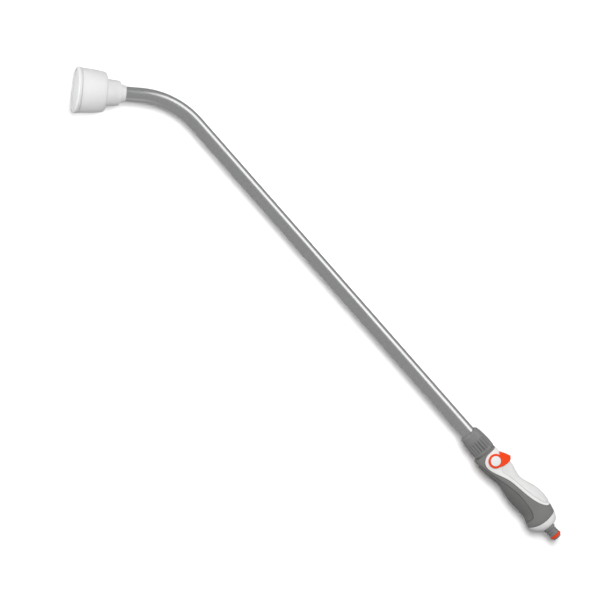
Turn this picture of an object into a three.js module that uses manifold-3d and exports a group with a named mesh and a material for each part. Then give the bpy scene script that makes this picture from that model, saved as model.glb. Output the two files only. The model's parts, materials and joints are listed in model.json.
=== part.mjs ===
// A garden watering lance: a hose plug, a handle with a thumb valve, a long bent tube and a rose.
//
// The lance is drawn as it is held: x runs from the hose to the rose along the straight tube,
// z points to the thumb lever's side and y is sideways. The exported group then lays it on its
// side, so that the bend lies flat: +X still runs to the rose, -Y is the lever's side, +Z is up.
// The origin is the centre of the hose plug's end face. Lengths are in millimetres.
import * as THREE from "three";
import { mergeVertices } from "three/addons/utils/BufferGeometryUtils.js";
import Module from "manifold-3d";

const wasm = await Module();
wasm.setup();

// ---------------------------------------------------------------------------------------------
// Driving dimensions
// ---------------------------------------------------------------------------------------------
const GAP = 0.3; // clearance between neighbouring pieces

// Hose plug, on the x axis
const PLUG_TIP_RADIUS = 5.8;
const PLUG_BORE_RADIUS = 3.8;
const PLUG_TAIL_RADIUS = 6.6;
const PLUG_TAIL_END = 42;
const PLUG_RING_RADIUS = 8;
const PLUG_RING_START = 2.3;
const PLUG_RING_WIDTH = 3.9;
const PLUG_COLLAR_RADIUS = 7.4;
const PLUG_COLLAR_END = 10;
const PLUG_GROOVE_RADIUS = 6.2;
const PLUG_BARREL_START = 11.5;
const PLUG_BARREL_END = 13.6;
const PLUG_NECK_RADIUS = 6.5;
const PLUG_SHOULDER_START = 16;
const PLUG_SHOULDER_RADIUS = 8.4;
const PLUG_CHAMFER = 0.4;
const PLUG_SEAT_STEP = 0.2;

// Handle: where it starts and ends along x, its layers and its seams
const HANDLE_BACK = 20.6;
const HANDLE_LENGTH = 135.4;
const CAP_WALL = 2.5;
const SKIN_WALL = 2;
const SHELL_WALL = 2;
const COVER_FRONT_BORDER = 3.5; // grey band left in front of the white cover

// Lever and valve: both turn on one pivot that runs sideways through the handle
const PIVOT_FROM_FRONT = 16.5;
const PIVOT_LIFT = 4;
const LEVER_TURN = 42;
const LEVER_RING_RADIUS = 10;
const LEVER_CHEEK = 3;
const LEVER_WEB = 1.2;
const LEVER_BRIDGE_RADIUS = 16.6;
const LEVER_REACH = 21.7;
const LEVER_BACK_ANGLE = 38;
const LEVER_FRONT_ANGLE = 17;
const HUB_CAP_RADIUS = 7;
const HUB_CAP_THICKNESS = 0.9;
const SPOOL_RADIUS = 6.5;
const SPOOL_HALF_LENGTH = 6.6;
const SPOOL_PORT_RADIUS = 2.3;
const JOURNAL_RADIUS = 4.6;
const DRIVE_SQUARE = 6;
const VALVE_WALL = 2.2;
const PASSAGE_RADIUS = 2.9;
const INLET_SPIGOT_RADIUS = 6.2;
const INLET_SPIGOT_REACH = 20.5;
const INLET_PIPE_OVERLAP = 6;
const SPIGOT_RING_INSET = 2.6;
const O_RING_THICKNESS = 1.5;
const JOINT_SEAL_THICKNESS = 1.8;
const OUTLET_SPIGOT_RADIUS = 5.6;
const INLET_PIPE_RADIUS = 6;
const INLET_PIPE_WALL = 1.8;
const PIPE_SOCKET_WALL = 1.4;
const PLUG_SOCKET_WALL = 2.6;

// Screws
const SCREW_RADIUS = 1.4;
const SCREW_HEAD_RADIUS = 2.4;
const SCREW_HEAD_HEIGHT = 1.6;
const LEVER_SCREW_HEAD_HEIGHT = 0.6;
const BOSS_WALL = 1.2;

// Tube
const TUBE_RADIUS = 10;
const TUBE_WALL = 1.1;
const TUBE_LIFT = 2.6; // the tube's axis above the hose plug's
const BEND_CORNER = 803; // x at which the tube's two straight centre lines meet
const BEND_ANGLE = 43.2;
const BEND_RADIUS = 114;
const FACE_FROM_CORNER = 135.5;

// Tube socket and its collar nut
const SOCKET_WALL = 2.6; // beyond the tube's radius
const SOCKET_SPIGOT_RADIUS = 8.6;
const SOCKET_LENGTH = 29;
const SOCKET_MOUTH_DEPTH = 8;
const SOCKET_MOUTH_ROOM = 1.7; // for the seal and the collet, beyond the tube's radius
const SOCKET_FLOOR = 4;
const COLLAR_LENGTH = 34.7;
const FLUTE_COUNT = 20;
const FLUTE_DEPTH = 1.2;

// Rose
const ROSE_RADIUS = 31.9;
const ROSE_DEPTH = 41.7;
const ROSE_WALL = 2.4;
const ROSE_CORNER_INSET = ROSE_WALL * 0.9;
const ROSE_BACK_CORNER = 6.4;
const ROSE_BACK_TAPER = 3.6; // how much the cup narrows from its bezel to its back corner
const BEZEL_DEPTH = 5.4;
const BEZEL_WIDTH = 4.1;
const BEZEL_PROUD = 1.1;
const BEZEL_ROUNDING = 1.2;
const PLATE_THICKNESS = 1.6;
const PLATE_RECESS = 1.8;
const PLATE_DOME = 1.1;
const SEAL_WIDTH = 1.8;
const NECK_WALL = 8; // this and the next four are beyond the tube's radius
const NECK_BACK_WALL = 6;
const NECK_SPIGOT_WALL = 2;
const NUT_FRONT_WALL = 2.6;
const NUT_BACK_WALL = 1.2;
const NECK_LENGTH = 19;
const NECK_STRAIGHT = 14; // how much of the neck's length hardly tapers
const NECK_LIP = 1.8;
const NECK_LIP_CHAMFER = 0.8;
const NECK_STEP = 1.6; // the tube stops against this step in the neck's passage
const TUBE_INTO_NECK = 9.6;
const NUT_LENGTH = 7.4;
const NUT_SEAL_DEPTH = 2.2;
const NUT_LIP = 0.9;

// Facets
const ROUND_SIDES = 20;
const SMALL_SIDES = 12;
const HANDLE_SIDES = 16;
const HANDLE_STEP = 12;
const TUBE_SIDES = 16;
const BEND_STEPS = 8;
const RING_CORNERS = 5;

// The handle's outline: how far along it, the top, the bottom and half the width there, and
// the power of its rounded section, from 2 for an ellipse up to a squarer one.
const HANDLE_OUTLINE = [
  [0, 14.4, -10.8, 12.6, 2],
  [3.5, 17.2, -14.8, 15.5, 2],
  [9, 20, -18.8, 17.4, 2.1],
  [16, 21.7, -21, 18.3, 2.2],
  [23.4, 23.3, -19.3, 17.9, 2.2],
  [31.4, 24.9, -16.3, 17.2, 2.3],
  [42, 25.2, -16, 16.9, 2.3],
  [55.4, 23.2, -16.8, 16.5, 2.3],
  [67.4, 18.9, -16, 15.9, 2.4],
  [79.4, 16.4, -14.5, 15.2, 2.6],
  [90.4, 17.9, -13.4, 14.6, 2.8],
  [99.4, 19.8, -15, 14.2, 3],
  [119.4, 18, -17.4, 14, 3.2],
  [129.4, 17.7, -16.6, 14, 3.2],
  [135.4, 17.1, -15.8, 14, 3],
];
const DRAWN_LENGTH = 135.4; // the handle length that the outline's first column is drawn for

// ---------------------------------------------------------------------------------------------
// Places worked out from the sizes above
// ---------------------------------------------------------------------------------------------
const HANDLE_FRONT = HANDLE_BACK + HANDLE_LENGTH;
const PIVOT_X = HANDLE_FRONT - PIVOT_FROM_FRONT;
const SHELL_DEPTH = SKIN_WALL + GAP;
const HOLLOW_DEPTH = SHELL_DEPTH + SHELL_WALL;
const TURN = THREE.MathUtils.degToRad(BEND_ANGLE);
const BEND_TANGENT = BEND_RADIUS * Math.tan(TURN / 2);
const BEND_START = BEND_CORNER - BEND_TANGENT;
const BEND_LENGTH = BEND_RADIUS * TURN;

// ---------------------------------------------------------------------------------------------
// Finishes
// ---------------------------------------------------------------------------------------------
function finish(color, roughness, metalness = 0) {
  return new THREE.MeshStandardMaterial({ color, roughness, metalness });
}

const whitePlastic = finish(0xe4e4e2, 0.4);
const greyPlastic = finish(0x808284, 0.5);
const softGrey = finish(0x767879, 0.8);
const orangePlastic = finish(0xe8481c, 0.35);
const orangeRubber = finish(0xe0521f, 0.6);
const darkRubber = finish(0x242424, 0.8);
const darkPlastic = finish(0x3c3e40, 0.5);
const aluminium = finish(0xa9abad, 0.35, 1);
const steel = finish(0xb4b6b8, 0.3, 1);

// ---------------------------------------------------------------------------------------------
// Shape helpers
// ---------------------------------------------------------------------------------------------
function solid(geometry) {
  const loose = geometry.index ? geometry.toNonIndexed() : geometry.clone();
  loose.deleteAttribute("normal");
  loose.deleteAttribute("uv");
  const merged = mergeVertices(loose);
  const vertProperties = merged.attributes.position.array;
  const triVerts = new Uint32Array(merged.index.array);
  return new wasm.Manifold(new wasm.Mesh({ numProp: 3, vertProperties, triVerts }));
}

// A solid of revolution about the x axis, from a profile of [x, radius] points. A profile that
// doesn't start on the axis is closed on itself.
function turned(profile, sides = ROUND_SIDES) {
  const points = profile.map(([x, radius]) => new THREE.Vector2(radius, x));
  if (THREE.ShapeUtils.area(points) < 0) {
    points.reverse();
  }
  if (points[0].x > 0) {
    points.push(points[0].clone());
  }
  return new THREE.LatheGeometry(points, sides).rotateZ(-Math.PI / 2);
}

// A ring of round section about the x axis, such as an O-ring.
function ring(x, innerRadius, outerRadius, sides = ROUND_SIDES) {
  const thickness = (outerRadius - innerRadius) / 2;
  const profile = Array.from({ length: RING_CORNERS }, (_, i) => {
    const angle = ((i + 0.5) * 2 * Math.PI) / RING_CORNERS;
    return [x + thickness * Math.cos(angle), innerRadius + thickness * (1 + Math.sin(angle))];
  });
  return turned(profile, sides);
}

// A plain cylinder along x.
function rod(from, to, radius, sides = SMALL_SIDES) {
  return turned([[from, 0], [from, radius], [to, radius], [to, 0]], sides);
}

// A plain cylinder that runs sideways.
function pin(x, lift, from, to, radius, sides = SMALL_SIDES) {
  return rod(from, to, radius, sides).rotateZ(Math.PI / 2).translate(x, 0, lift);
}

// A side-view outline of [x, lift] points, cut out across the handle from one side to the other.
function cutOut(outline, from, to) {
  const shape = new THREE.Shape(outline.map(([x, lift]) => new THREE.Vector2(x, lift)));
  const settings = { depth: to - from, bevelEnabled: false };
  return new THREE.ExtrudeGeometry(shape, settings).rotateX(Math.PI / 2).translate(0, to, 0);
}

// Points on a smooth curve through the given ones.
function smoothLine(points, steps) {
  const curve = new THREE.SplineCurve(points.map(([x, lift]) => new THREE.Vector2(x, lift)));
  return curve.getSpacedPoints(steps).map((point) => [point.x, point.y]);
}

// An outline with each corner moved out by the given distance.
function grown(outline, distance) {
  const outward = THREE.ShapeUtils.isClockWise(outline.map(([x, y]) => ({ x, y }))) ? 1 : -1;
  return outline.map(([x, lift], i) => {
    const before = outline[(i + outline.length - 1) % outline.length];
    const after = outline[(i + 1) % outline.length];
    const along = new THREE.Vector2(after[0] - before[0], after[1] - before[1]).normalize();
    return [x - outward * distance * along.y, lift + outward * distance * along.x];
  });
}

// The geometry with each vertex moved to where the function says.
function moved(geometry, place) {
  const position = geometry.attributes.position;
  for (let i = 0; i < position.count; i += 1) {
    const [x, y, z] = place(position.getX(i), position.getY(i), position.getZ(i));
    position.setXYZ(i, x, y, z);
  }
  return geometry;
}

function addGeometry(group, name, geometry, material) {
  const mesh = new THREE.Mesh(geometry, material);
  mesh.name = name;
  group.add(mesh);
  return mesh;
}

function addSolid(group, name, shape, material) {
  const { vertProperties, triVerts } = shape.getMesh();
  const geometry = new THREE.BufferGeometry();
  geometry.setAttribute("position", new THREE.BufferAttribute(vertProperties, 3));
  geometry.setIndex(new THREE.BufferAttribute(triVerts, 1));
  geometry.computeVertexNormals();
  return addGeometry(group, name, geometry, material);
}

// ---------------------------------------------------------------------------------------------
// The handle's outer surface
// ---------------------------------------------------------------------------------------------
const stretch = HANDLE_LENGTH / DRAWN_LENGTH;
const outlineColumns = 4;
const handleOutline = new THREE.CubicInterpolant(
  HANDLE_OUTLINE.map(([along]) => HANDLE_BACK + along * stretch),
  HANDLE_OUTLINE.flatMap(([, ...sizes]) => sizes),
  outlineColumns,
  new Float32Array(outlineColumns),
);

// The lever's bridge sweeps over the handle's top. This is the greatest lift above the pivot
// that clears it, at a place along the handle: inside the sweep's radius, or outside its angles.
const SWEEP_RADIUS = LEVER_BRIDGE_RADIUS - GAP - 0.1;
const SWEEP_BACK = THREE.MathUtils.degToRad(LEVER_BACK_ANGLE + 3);
const SWEEP_FRONT = THREE.MathUtils.degToRad(LEVER_TURN - LEVER_FRONT_ANGLE + 2);

function leverRoom(x) {
  const along = x - PIVOT_X;
  const inside = Math.sqrt(Math.max(SWEEP_RADIUS ** 2 - along ** 2, 0));
  const outside = Math.abs(along) / Math.tan(along < 0 ? SWEEP_BACK : SWEEP_FRONT);
  return PIVOT_LIFT + Math.max(inside, outside);
}

function handleSection(x) {
  const [top, bottom, half, power] = handleOutline.evaluate(x);
  const clearTop = Math.min(top, leverRoom(x));
  return { middle: (clearTop + bottom) / 2, rise: (clearTop - bottom) / 2, half, power };
}

const notchBottom = PIVOT_X - SWEEP_RADIUS * Math.sin(SWEEP_BACK);
const NOTCH_HALF = 2.8;
const handleSteps = Math.round(HANDLE_LENGTH / HANDLE_STEP);
const HANDLE_STATIONS = [
  ...Array.from({ length: handleSteps + 1 }, (_, i) => HANDLE_BACK + (i * HANDLE_LENGTH) / handleSteps),
  HANDLE_BACK + 3.5 * stretch,
  notchBottom,
]
  .filter((x) => x === notchBottom || Math.abs(x - notchBottom) > NOTCH_HALF)
  .concat([notchBottom - NOTCH_HALF, notchBottom + NOTCH_HALF])
  .sort((a, b) => a - b);

// A turned radius of FULL stands for the handle's outer surface, and a smaller one for a surface
// that much deeper. A turned radius of 0 is the handle's middle line.
const FULL = 100;

function ontoHandle(x, y, z) {
  const radius = Math.hypot(y, z);
  const { middle, rise, half, power } = handleSection(x);
  if (radius < 1) {
    return [x, 0, middle];
  }
  const depth = FULL - radius;
  const round = (share) => Math.sign(share) * Math.abs(share) ** (2 / power);
  return [x, (half - depth) * round(y / radius), middle + (rise - depth) * round(z / radius)];
}

// The whole inside of the handle that lies deeper than a depth, between two places along it.
function handleCore(depth, from = HANDLE_BACK, to = HANDLE_FRONT) {
  const stations = HANDLE_STATIONS.filter((x) => x > from + 1 && x < to - 1);
  const profile = [from, ...stations, to].map((x) => [x, FULL - depth]);
  return solid(moved(turned([[from, 0], ...profile, [to, 0]], HANDLE_SIDES), ontoHandle));
}

// A place on the handle's side view, from its distance behind the handle's front.
function fromFront(distance, lift) {
  return [HANDLE_FRONT - distance * stretch, lift];
}

const FAR = 40; // well outside the handle on every side

// Everything in front of the curved seam between the end cap and the grip.
const capSeam = smoothLine([[31.2, FAR], [31.4, 21], [30.8, 4], [36.8, -21.5], [43, -FAR]], 9);
const capSeamOnHandle = capSeam.map(([x, lift]) => [HANDLE_BACK + (x - HANDLE_BACK) * stretch, lift]);

function aheadOfSeam(clearance) {
  const line = capSeamOnHandle.map(([x, lift]) => [x + clearance, lift]);
  const front = HANDLE_FRONT + FAR;
  return solid(cutOut([...line, [front, -FAR], [front, FAR]], -FAR, FAR));
}

// The white cover's outline, from its back end over the thumb to its front edge.
const coverEdge = smoothLine(
  [
    fromFront(113, 24),
    fromFront(111.6, 19),
    fromFront(106, 14),
    fromFront(93, 8.4),
    fromFront(75, 4.8),
    fromFront(53, 1.6),
    fromFront(40, -3),
    fromFront(28, -8.2),
    fromFront(16.5, -10.8),
    fromFront(8.6, -8),
    fromFront(COVER_FRONT_BORDER, 1),
  ],
  15,
);
const coverOutline = [
  fromFront(113, FAR),
  ...coverEdge,
  fromFront(COVER_FRONT_BORDER, 14),
  fromFront(COVER_FRONT_BORDER, FAR),
];

// The cover's inner panel ends in an arc that runs round the lever.
const PANEL_ARC_RADIUS = 13.3;
const panelArc = [250, 270, 290, 310].map((degrees) => {
  const angle = THREE.MathUtils.degToRad(degrees);
  return [PIVOT_X + PANEL_ARC_RADIUS * Math.sin(angle), PIVOT_LIFT + PANEL_ARC_RADIUS * Math.cos(angle)];
});
const panelEdge = smoothLine(
  [
    fromFront(107.5, 22),
    fromFront(105, 17.6),
    fromFront(93.3, 13.5),
    fromFront(79, 9.8),
    fromFront(51.6, 5.8),
    fromFront(37, 1.8),
  ],
  10,
);
const panelOutline = [
  fromFront(108.5, FAR),
  ...panelEdge,
  ...panelArc,
  [panelArc[panelArc.length - 1][0], FAR],
];

// The pad under the fingers wraps round the handle's underside.
const padEdge = smoothLine(
  [
    fromFront(110, -19),
    fromFront(110.4, -11),
    fromFront(105, -6.4),
    fromFront(90, -3.8),
    fromFront(72, -3.4),
    fromFront(50, -7),
    fromFront(29, -12.4),
    fromFront(10, -15.4),
  ],
  14,
);
const padOutline = [fromFront(109, -FAR), ...padEdge, fromFront(6, -FAR)];

// ---------------------------------------------------------------------------------------------
// Handle pieces
// ---------------------------------------------------------------------------------------------
function addHandleSkin(wand) {
  const skin = handleCore(0).subtract(handleCore(SKIN_WALL, HANDLE_BACK - 1, HANDLE_FRONT + 1));
  const grip = skin.intersect(aheadOfSeam(GAP));
  const pivotHole = solid(pin(PIVOT_X, PIVOT_LIFT, -FAR, FAR, JOURNAL_RADIUS + GAP));
  const cover = solid(cutOut(coverOutline, -FAR, FAR));
  const panel = solid(cutOut(panelOutline, -FAR, FAR));
  const pad = solid(cutOut(padOutline, -FAR, FAR));
  const coverRoom = solid(cutOut(grown(coverOutline, GAP), -FAR, FAR));
  const panelRoom = solid(cutOut(grown(panelOutline, GAP), -FAR, FAR));
  const padRoom = solid(cutOut(grown(padOutline, GAP), -FAR, FAR));
  addSolid(wand, "soft_grip", grip.subtract(coverRoom).subtract(padRoom), softGrey);
  addSolid(wand, "grip_pad", grip.intersect(pad), softGrey);
  addSolid(wand, "top_cover", skin.intersect(cover).subtract(panelRoom).subtract(pivotHole), whitePlastic);
  addSolid(wand, "top_panel", skin.intersect(panel), whitePlastic);
}

// Where the handle's screws sit in the side view.
const SCREW_PLACES = [fromFront(94, -10.2), fromFront(94, 14.5), fromFront(56, -7.8), fromFront(6.8, -11.3)];
const SCREW_SEAT = 3.6; // how far the screw heads' seats are from the middle of the handle
const SCREW_REACH = 7; // how far the screws run into the other half

function addShells(wand) {
  const wall = handleCore(SHELL_DEPTH, HANDLE_BACK, HANDLE_FRONT - GAP);
  const hollow = handleCore(HOLLOW_DEPTH, HANDLE_BACK - 1, HANDLE_FRONT + 1);
  let bosses = wall.subtract(hollow);
  for (const [x, lift] of SCREW_PLACES) {
    const boss = solid(pin(x, lift, -FAR, FAR, SCREW_HEAD_RADIUS + GAP + BOSS_WALL));
    bosses = bosses.add(boss.intersect(wall));
  }
  let shells = bosses.intersect(aheadOfSeam(GAP));
  shells = shells.subtract(solid(pin(PIVOT_X, PIVOT_LIFT, -FAR, FAR, JOURNAL_RADIUS + GAP)));
  for (const [x, lift] of SCREW_PLACES) {
    shells = shells.subtract(solid(pin(x, lift, -SCREW_REACH - GAP, FAR, SCREW_RADIUS + GAP)));
    shells = shells.subtract(solid(pin(x, lift, SCREW_SEAT, FAR, SCREW_HEAD_RADIUS + GAP)));
  }
  const room = [[-FAR, -FAR], [HANDLE_FRONT + FAR, -FAR], [HANDLE_FRONT + FAR, FAR], [-FAR, FAR]];
  const leftSide = solid(cutOut(room, GAP / 2, FAR));
  const rightSide = solid(cutOut(room, -FAR, -GAP / 2));
  addSolid(wand, "handle_shell_left", shells.intersect(leftSide), greyPlastic);
  addSolid(wand, "handle_shell_right", shells.intersect(rightSide), greyPlastic);
  SCREW_PLACES.forEach(([x, lift], i) => {
    const start = SCREW_SEAT + GAP;
    const profile = [
      [-SCREW_REACH, 0],
      [-SCREW_REACH, SCREW_RADIUS],
      [start, SCREW_RADIUS],
      [start, SCREW_HEAD_RADIUS],
      [start + SCREW_HEAD_HEIGHT, SCREW_HEAD_RADIUS],
      [start + SCREW_HEAD_HEIGHT, 0],
    ];
    const screw = addGeometry(wand, "handle_screw_" + (i + 1), turned(profile, SMALL_SIDES), steel);
    screw.rotation.z = Math.PI / 2;
    screw.position.set(x, 0, lift);
  });
}

function addEndCap(wand) {
  const outside = handleCore(0).subtract(aheadOfSeam(0));
  const hollow = handleCore(CAP_WALL, HANDLE_BACK + CAP_WALL, HANDLE_FRONT);
  const plugHole = solid(rod(0, HANDLE_FRONT, PLUG_TAIL_RADIUS + GAP));
  addSolid(wand, "end_cap", outside.subtract(hollow).subtract(plugHole), whitePlastic);
}

// ---------------------------------------------------------------------------------------------
// Water way from the hose to the valve
// ---------------------------------------------------------------------------------------------
const ringSeat = PLUG_TIP_RADIUS + PLUG_SEAT_STEP;
const ringEnd = PLUG_RING_START + PLUG_RING_WIDTH;

function addHosePlug(wand) {
  const profile = [
    [0, PLUG_BORE_RADIUS],
    [0, PLUG_TIP_RADIUS],
    [PLUG_RING_START - GAP, ringSeat],
    [ringEnd + GAP, ringSeat],
    [ringEnd + GAP, PLUG_COLLAR_RADIUS],
    [PLUG_COLLAR_END, PLUG_COLLAR_RADIUS],
    [PLUG_COLLAR_END + PLUG_CHAMFER, PLUG_GROOVE_RADIUS],
    [PLUG_BARREL_START - PLUG_CHAMFER, PLUG_GROOVE_RADIUS],
    [PLUG_BARREL_START, PLUG_COLLAR_RADIUS],
    [PLUG_BARREL_END, PLUG_COLLAR_RADIUS],
    [PLUG_BARREL_END + PLUG_CHAMFER, PLUG_NECK_RADIUS],
    [PLUG_SHOULDER_START - 2 * PLUG_CHAMFER, PLUG_NECK_RADIUS],
    [PLUG_SHOULDER_START, PLUG_SHOULDER_RADIUS],
    [HANDLE_BACK - GAP, PLUG_SHOULDER_RADIUS],
    [HANDLE_BACK - GAP, PLUG_TAIL_RADIUS],
    [PLUG_TAIL_END, PLUG_TAIL_RADIUS],
    [PLUG_TAIL_END, PLUG_BORE_RADIUS],
  ];
  addGeometry(wand, "hose_plug", turned(profile), greyPlastic);
  const bulge = (PLUG_RING_RADIUS + ringSeat) / 2;
  const seal = [
    [PLUG_RING_START, ringSeat + GAP],
    [PLUG_RING_START, bulge],
    [PLUG_RING_START + 1, PLUG_RING_RADIUS],
    [ringEnd - 1, PLUG_RING_RADIUS],
    [ringEnd, bulge],
    [ringEnd, ringSeat + GAP],
  ];
  addGeometry(wand, "plug_o_ring", turned(seal), orangeRubber);
}

const pipeStart = HANDLE_BACK + CAP_WALL + GAP;
const plugSocketEnd = PLUG_TAIL_END + GAP + JOINT_SEAL_THICKNESS + GAP;
const spigotEnd = PIVOT_X - INLET_SPIGOT_REACH;
const pipeEnd = spigotEnd + INLET_PIPE_OVERLAP;

// The pipe leaves the plug on the x axis and climbs to the valve's height.
function pipeRise(x) {
  return PIVOT_LIFT * THREE.MathUtils.smoothstep(x, plugSocketEnd, spigotEnd - 5);
}

function addInletPipe(wand) {
  const socketBore = PLUG_TAIL_RADIUS + GAP;
  const socketRadius = socketBore + PLUG_SOCKET_WALL;
  const inner = INLET_PIPE_RADIUS - INLET_PIPE_WALL;
  const endBore = INLET_SPIGOT_RADIUS + GAP;
  const steps = [0.2, 0.4, 0.6, 0.8].map((share) =>
    THREE.MathUtils.lerp(plugSocketEnd + 3, spigotEnd - 3, share),
  );
  const profile = [
    [pipeStart, socketBore],
    [pipeStart, socketRadius],
    [plugSocketEnd, socketRadius],
    [plugSocketEnd + 3, INLET_PIPE_RADIUS],
    ...steps.map((x) => [x, INLET_PIPE_RADIUS]),
    [spigotEnd - 3, INLET_PIPE_RADIUS],
    [spigotEnd - 1.5, endBore + PIPE_SOCKET_WALL],
    [pipeEnd, endBore + PIPE_SOCKET_WALL],
    [pipeEnd, endBore],
    [spigotEnd - GAP, endBore],
    [spigotEnd - GAP, inner],
    ...steps.map((x) => [x, inner]).reverse(),
    [plugSocketEnd, inner],
    [plugSocketEnd, socketBore],
  ];
  const climb = (x, y, z) => [x, y, z + pipeRise(x)];
  addGeometry(wand, "inlet_pipe", moved(turned(profile, SMALL_SIDES), climb), darkPlastic);
  const sealAt = PLUG_TAIL_END + GAP + JOINT_SEAL_THICKNESS / 2;
  const sealRadius = socketBore - GAP;
  const inletSeal = ring(sealAt, sealRadius - JOINT_SEAL_THICKNESS, sealRadius, SMALL_SIDES);
  addGeometry(wand, "inlet_seal", inletSeal, darkRubber);
}

// ---------------------------------------------------------------------------------------------
// Valve: its body is fixed in the handle, and its spool turns with the lever
// ---------------------------------------------------------------------------------------------
const valveBore = SPOOL_RADIUS + GAP;
const valveRadius = valveBore + VALVE_WALL;
const outletEnd = HANDLE_FRONT + 2;
const seatSealThickness = 1.5;
const seatSealRadius = PASSAGE_RADIUS + 1.5;
const ringGroove = 1.1; // half the width of the groove that holds an O-ring

function spigotRing(x, spigotRadius, thickness) {
  return ring(x, spigotRadius - thickness, spigotRadius, SMALL_SIDES).translate(0, 0, PIVOT_LIFT);
}

function spigotGroove(x, spigotRadius, thickness) {
  const floor = spigotRadius - thickness - GAP;
  const outside = spigotRadius + 1;
  const profile = [
    [x - ringGroove, floor],
    [x - ringGroove, outside],
    [x + ringGroove, outside],
    [x + ringGroove, floor],
  ];
  return solid(turned(profile, SMALL_SIDES).translate(0, 0, PIVOT_LIFT));
}

function addValveBody(wand) {
  const inletRing = spigotEnd + SPIGOT_RING_INSET;
  const outletRing = outletEnd - SPIGOT_RING_INSET;
  const seatSide = valveBore + GAP;
  const along = (from, to, radius) => solid(rod(from, to, radius).translate(0, 0, PIVOT_LIFT));
  let body = solid(pin(PIVOT_X, PIVOT_LIFT, -FAR, FAR, valveRadius));
  body = body.add(along(spigotEnd, PIVOT_X, INLET_SPIGOT_RADIUS));
  body = body.add(along(PIVOT_X, outletEnd, OUTLET_SPIGOT_RADIUS));
  body = body.subtract(solid(pin(PIVOT_X, PIVOT_LIFT, -FAR, FAR, valveBore)));
  body = body.subtract(along(spigotEnd - 1, outletEnd + 1, PASSAGE_RADIUS));
  const seatDepth = seatSide + seatSealThickness + GAP;
  body = body.subtract(along(PIVOT_X - seatDepth, PIVOT_X + seatDepth, seatSealRadius + GAP));
  body = body.subtract(spigotGroove(inletRing, INLET_SPIGOT_RADIUS, O_RING_THICKNESS));
  body = body.subtract(spigotGroove(outletRing, OUTLET_SPIGOT_RADIUS, O_RING_THICKNESS));
  const hollow = handleCore(HOLLOW_DEPTH + GAP, HANDLE_BACK, HANDLE_FRONT + FAR / 4);
  body = body.intersect(hollow);
  addSolid(wand, "valve_body", body, darkPlastic);
  const inletSeal = spigotRing(inletRing, INLET_SPIGOT_RADIUS, O_RING_THICKNESS);
  addGeometry(wand, "pipe_o_ring", inletSeal, darkRubber);
  const outletSeal = spigotRing(outletRing, OUTLET_SPIGOT_RADIUS, O_RING_THICKNESS);
  addGeometry(wand, "outlet_o_ring", outletSeal, darkRubber);
  for (const [name, way] of [["seat_seal_inlet", -1], ["seat_seal_outlet", 1]]) {
    const near = PIVOT_X + way * seatSide;
    const far = PIVOT_X + way * (seatSide + seatSealThickness);
    const profile = [
      [near, PASSAGE_RADIUS],
      [near, seatSealRadius],
      [far, seatSealRadius],
      [far, PASSAGE_RADIUS],
    ];
    addGeometry(wand, name, turned(profile, SMALL_SIDES).translate(0, 0, PIVOT_LIFT), darkRubber);
  }
}

// The lever's pieces are drawn around its pivot: x forward, y sideways, z away from the handle.
const housingSide = handleSection(PIVOT_X).half;
const cheekInside = housingSide + GAP;
const cheekOutside = cheekInside + LEVER_CHEEK;
const webOutside = cheekInside + LEVER_WEB;

function atAngle(degrees, radius) {
  const angle = THREE.MathUtils.degToRad(degrees);
  return [radius * Math.sin(angle), radius * Math.cos(angle)];
}

// The square section of the drive between the lever and the spool.
function driveSquare(half) {
  return [
    [-half, -half],
    [half, -half],
    [half, half],
    [-half, half],
  ];
}

function addLever(lever) {
  const tip = atAngle(31, 14.2);
  const flank = [
    atAngle(-112, LEVER_RING_RADIUS),
    [-12.7, 6],
    atAngle(-LEVER_BACK_ANGLE - 2, LEVER_REACH - 2),
    atAngle(-LEVER_BACK_ANGLE + 1, LEVER_REACH - 1),
    atAngle(-LEVER_BACK_ANGLE + 16, LEVER_REACH),
    atAngle(-LEVER_FRONT_ANGLE, LEVER_REACH - 2),
    [0.4, 16.6],
    tip,
    [2.5, LEVER_RING_RADIUS],
    [0, 0],
  ];
  const bridge = [
    atAngle(-LEVER_BACK_ANGLE, LEVER_BRIDGE_RADIUS),
    atAngle(-LEVER_BACK_ANGLE - 2, LEVER_REACH - 2),
    atAngle(-LEVER_BACK_ANGLE + 1, LEVER_REACH - 1),
    atAngle(-LEVER_BACK_ANGLE + 16, LEVER_REACH),
    atAngle(-LEVER_FRONT_ANGLE, LEVER_REACH - 2),
    atAngle(-LEVER_FRONT_ANGLE, LEVER_BRIDGE_RADIUS),
    atAngle((-LEVER_BACK_ANGLE - LEVER_FRONT_ANGLE) / 2, LEVER_BRIDGE_RADIUS),
  ];
  let yoke = solid(cutOut(bridge, -cheekOutside, cheekOutside));
  for (const side of [-1, 1]) {
    const near = Math.min(side * cheekInside, side * cheekOutside);
    const disc = solid(pin(0, 0, near, near + LEVER_CHEEK, LEVER_RING_RADIUS, ROUND_SIDES));
    yoke = yoke.add(disc.add(solid(cutOut(flank, near, near + LEVER_CHEEK))));
  }
  const square = driveSquare(DRIVE_SQUARE / 2 + GAP);
  yoke = yoke.subtract(solid(cutOut(square, -FAR, FAR)));
  yoke = yoke.subtract(solid(pin(0, 0, webOutside, FAR, HUB_CAP_RADIUS + GAP, ROUND_SIDES)));
  yoke = yoke.subtract(solid(pin(0, 0, -FAR, -webOutside, HUB_CAP_RADIUS + GAP, ROUND_SIDES)));
  addSolid(lever, "thumb_lever", yoke, orangePlastic);
}

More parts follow.
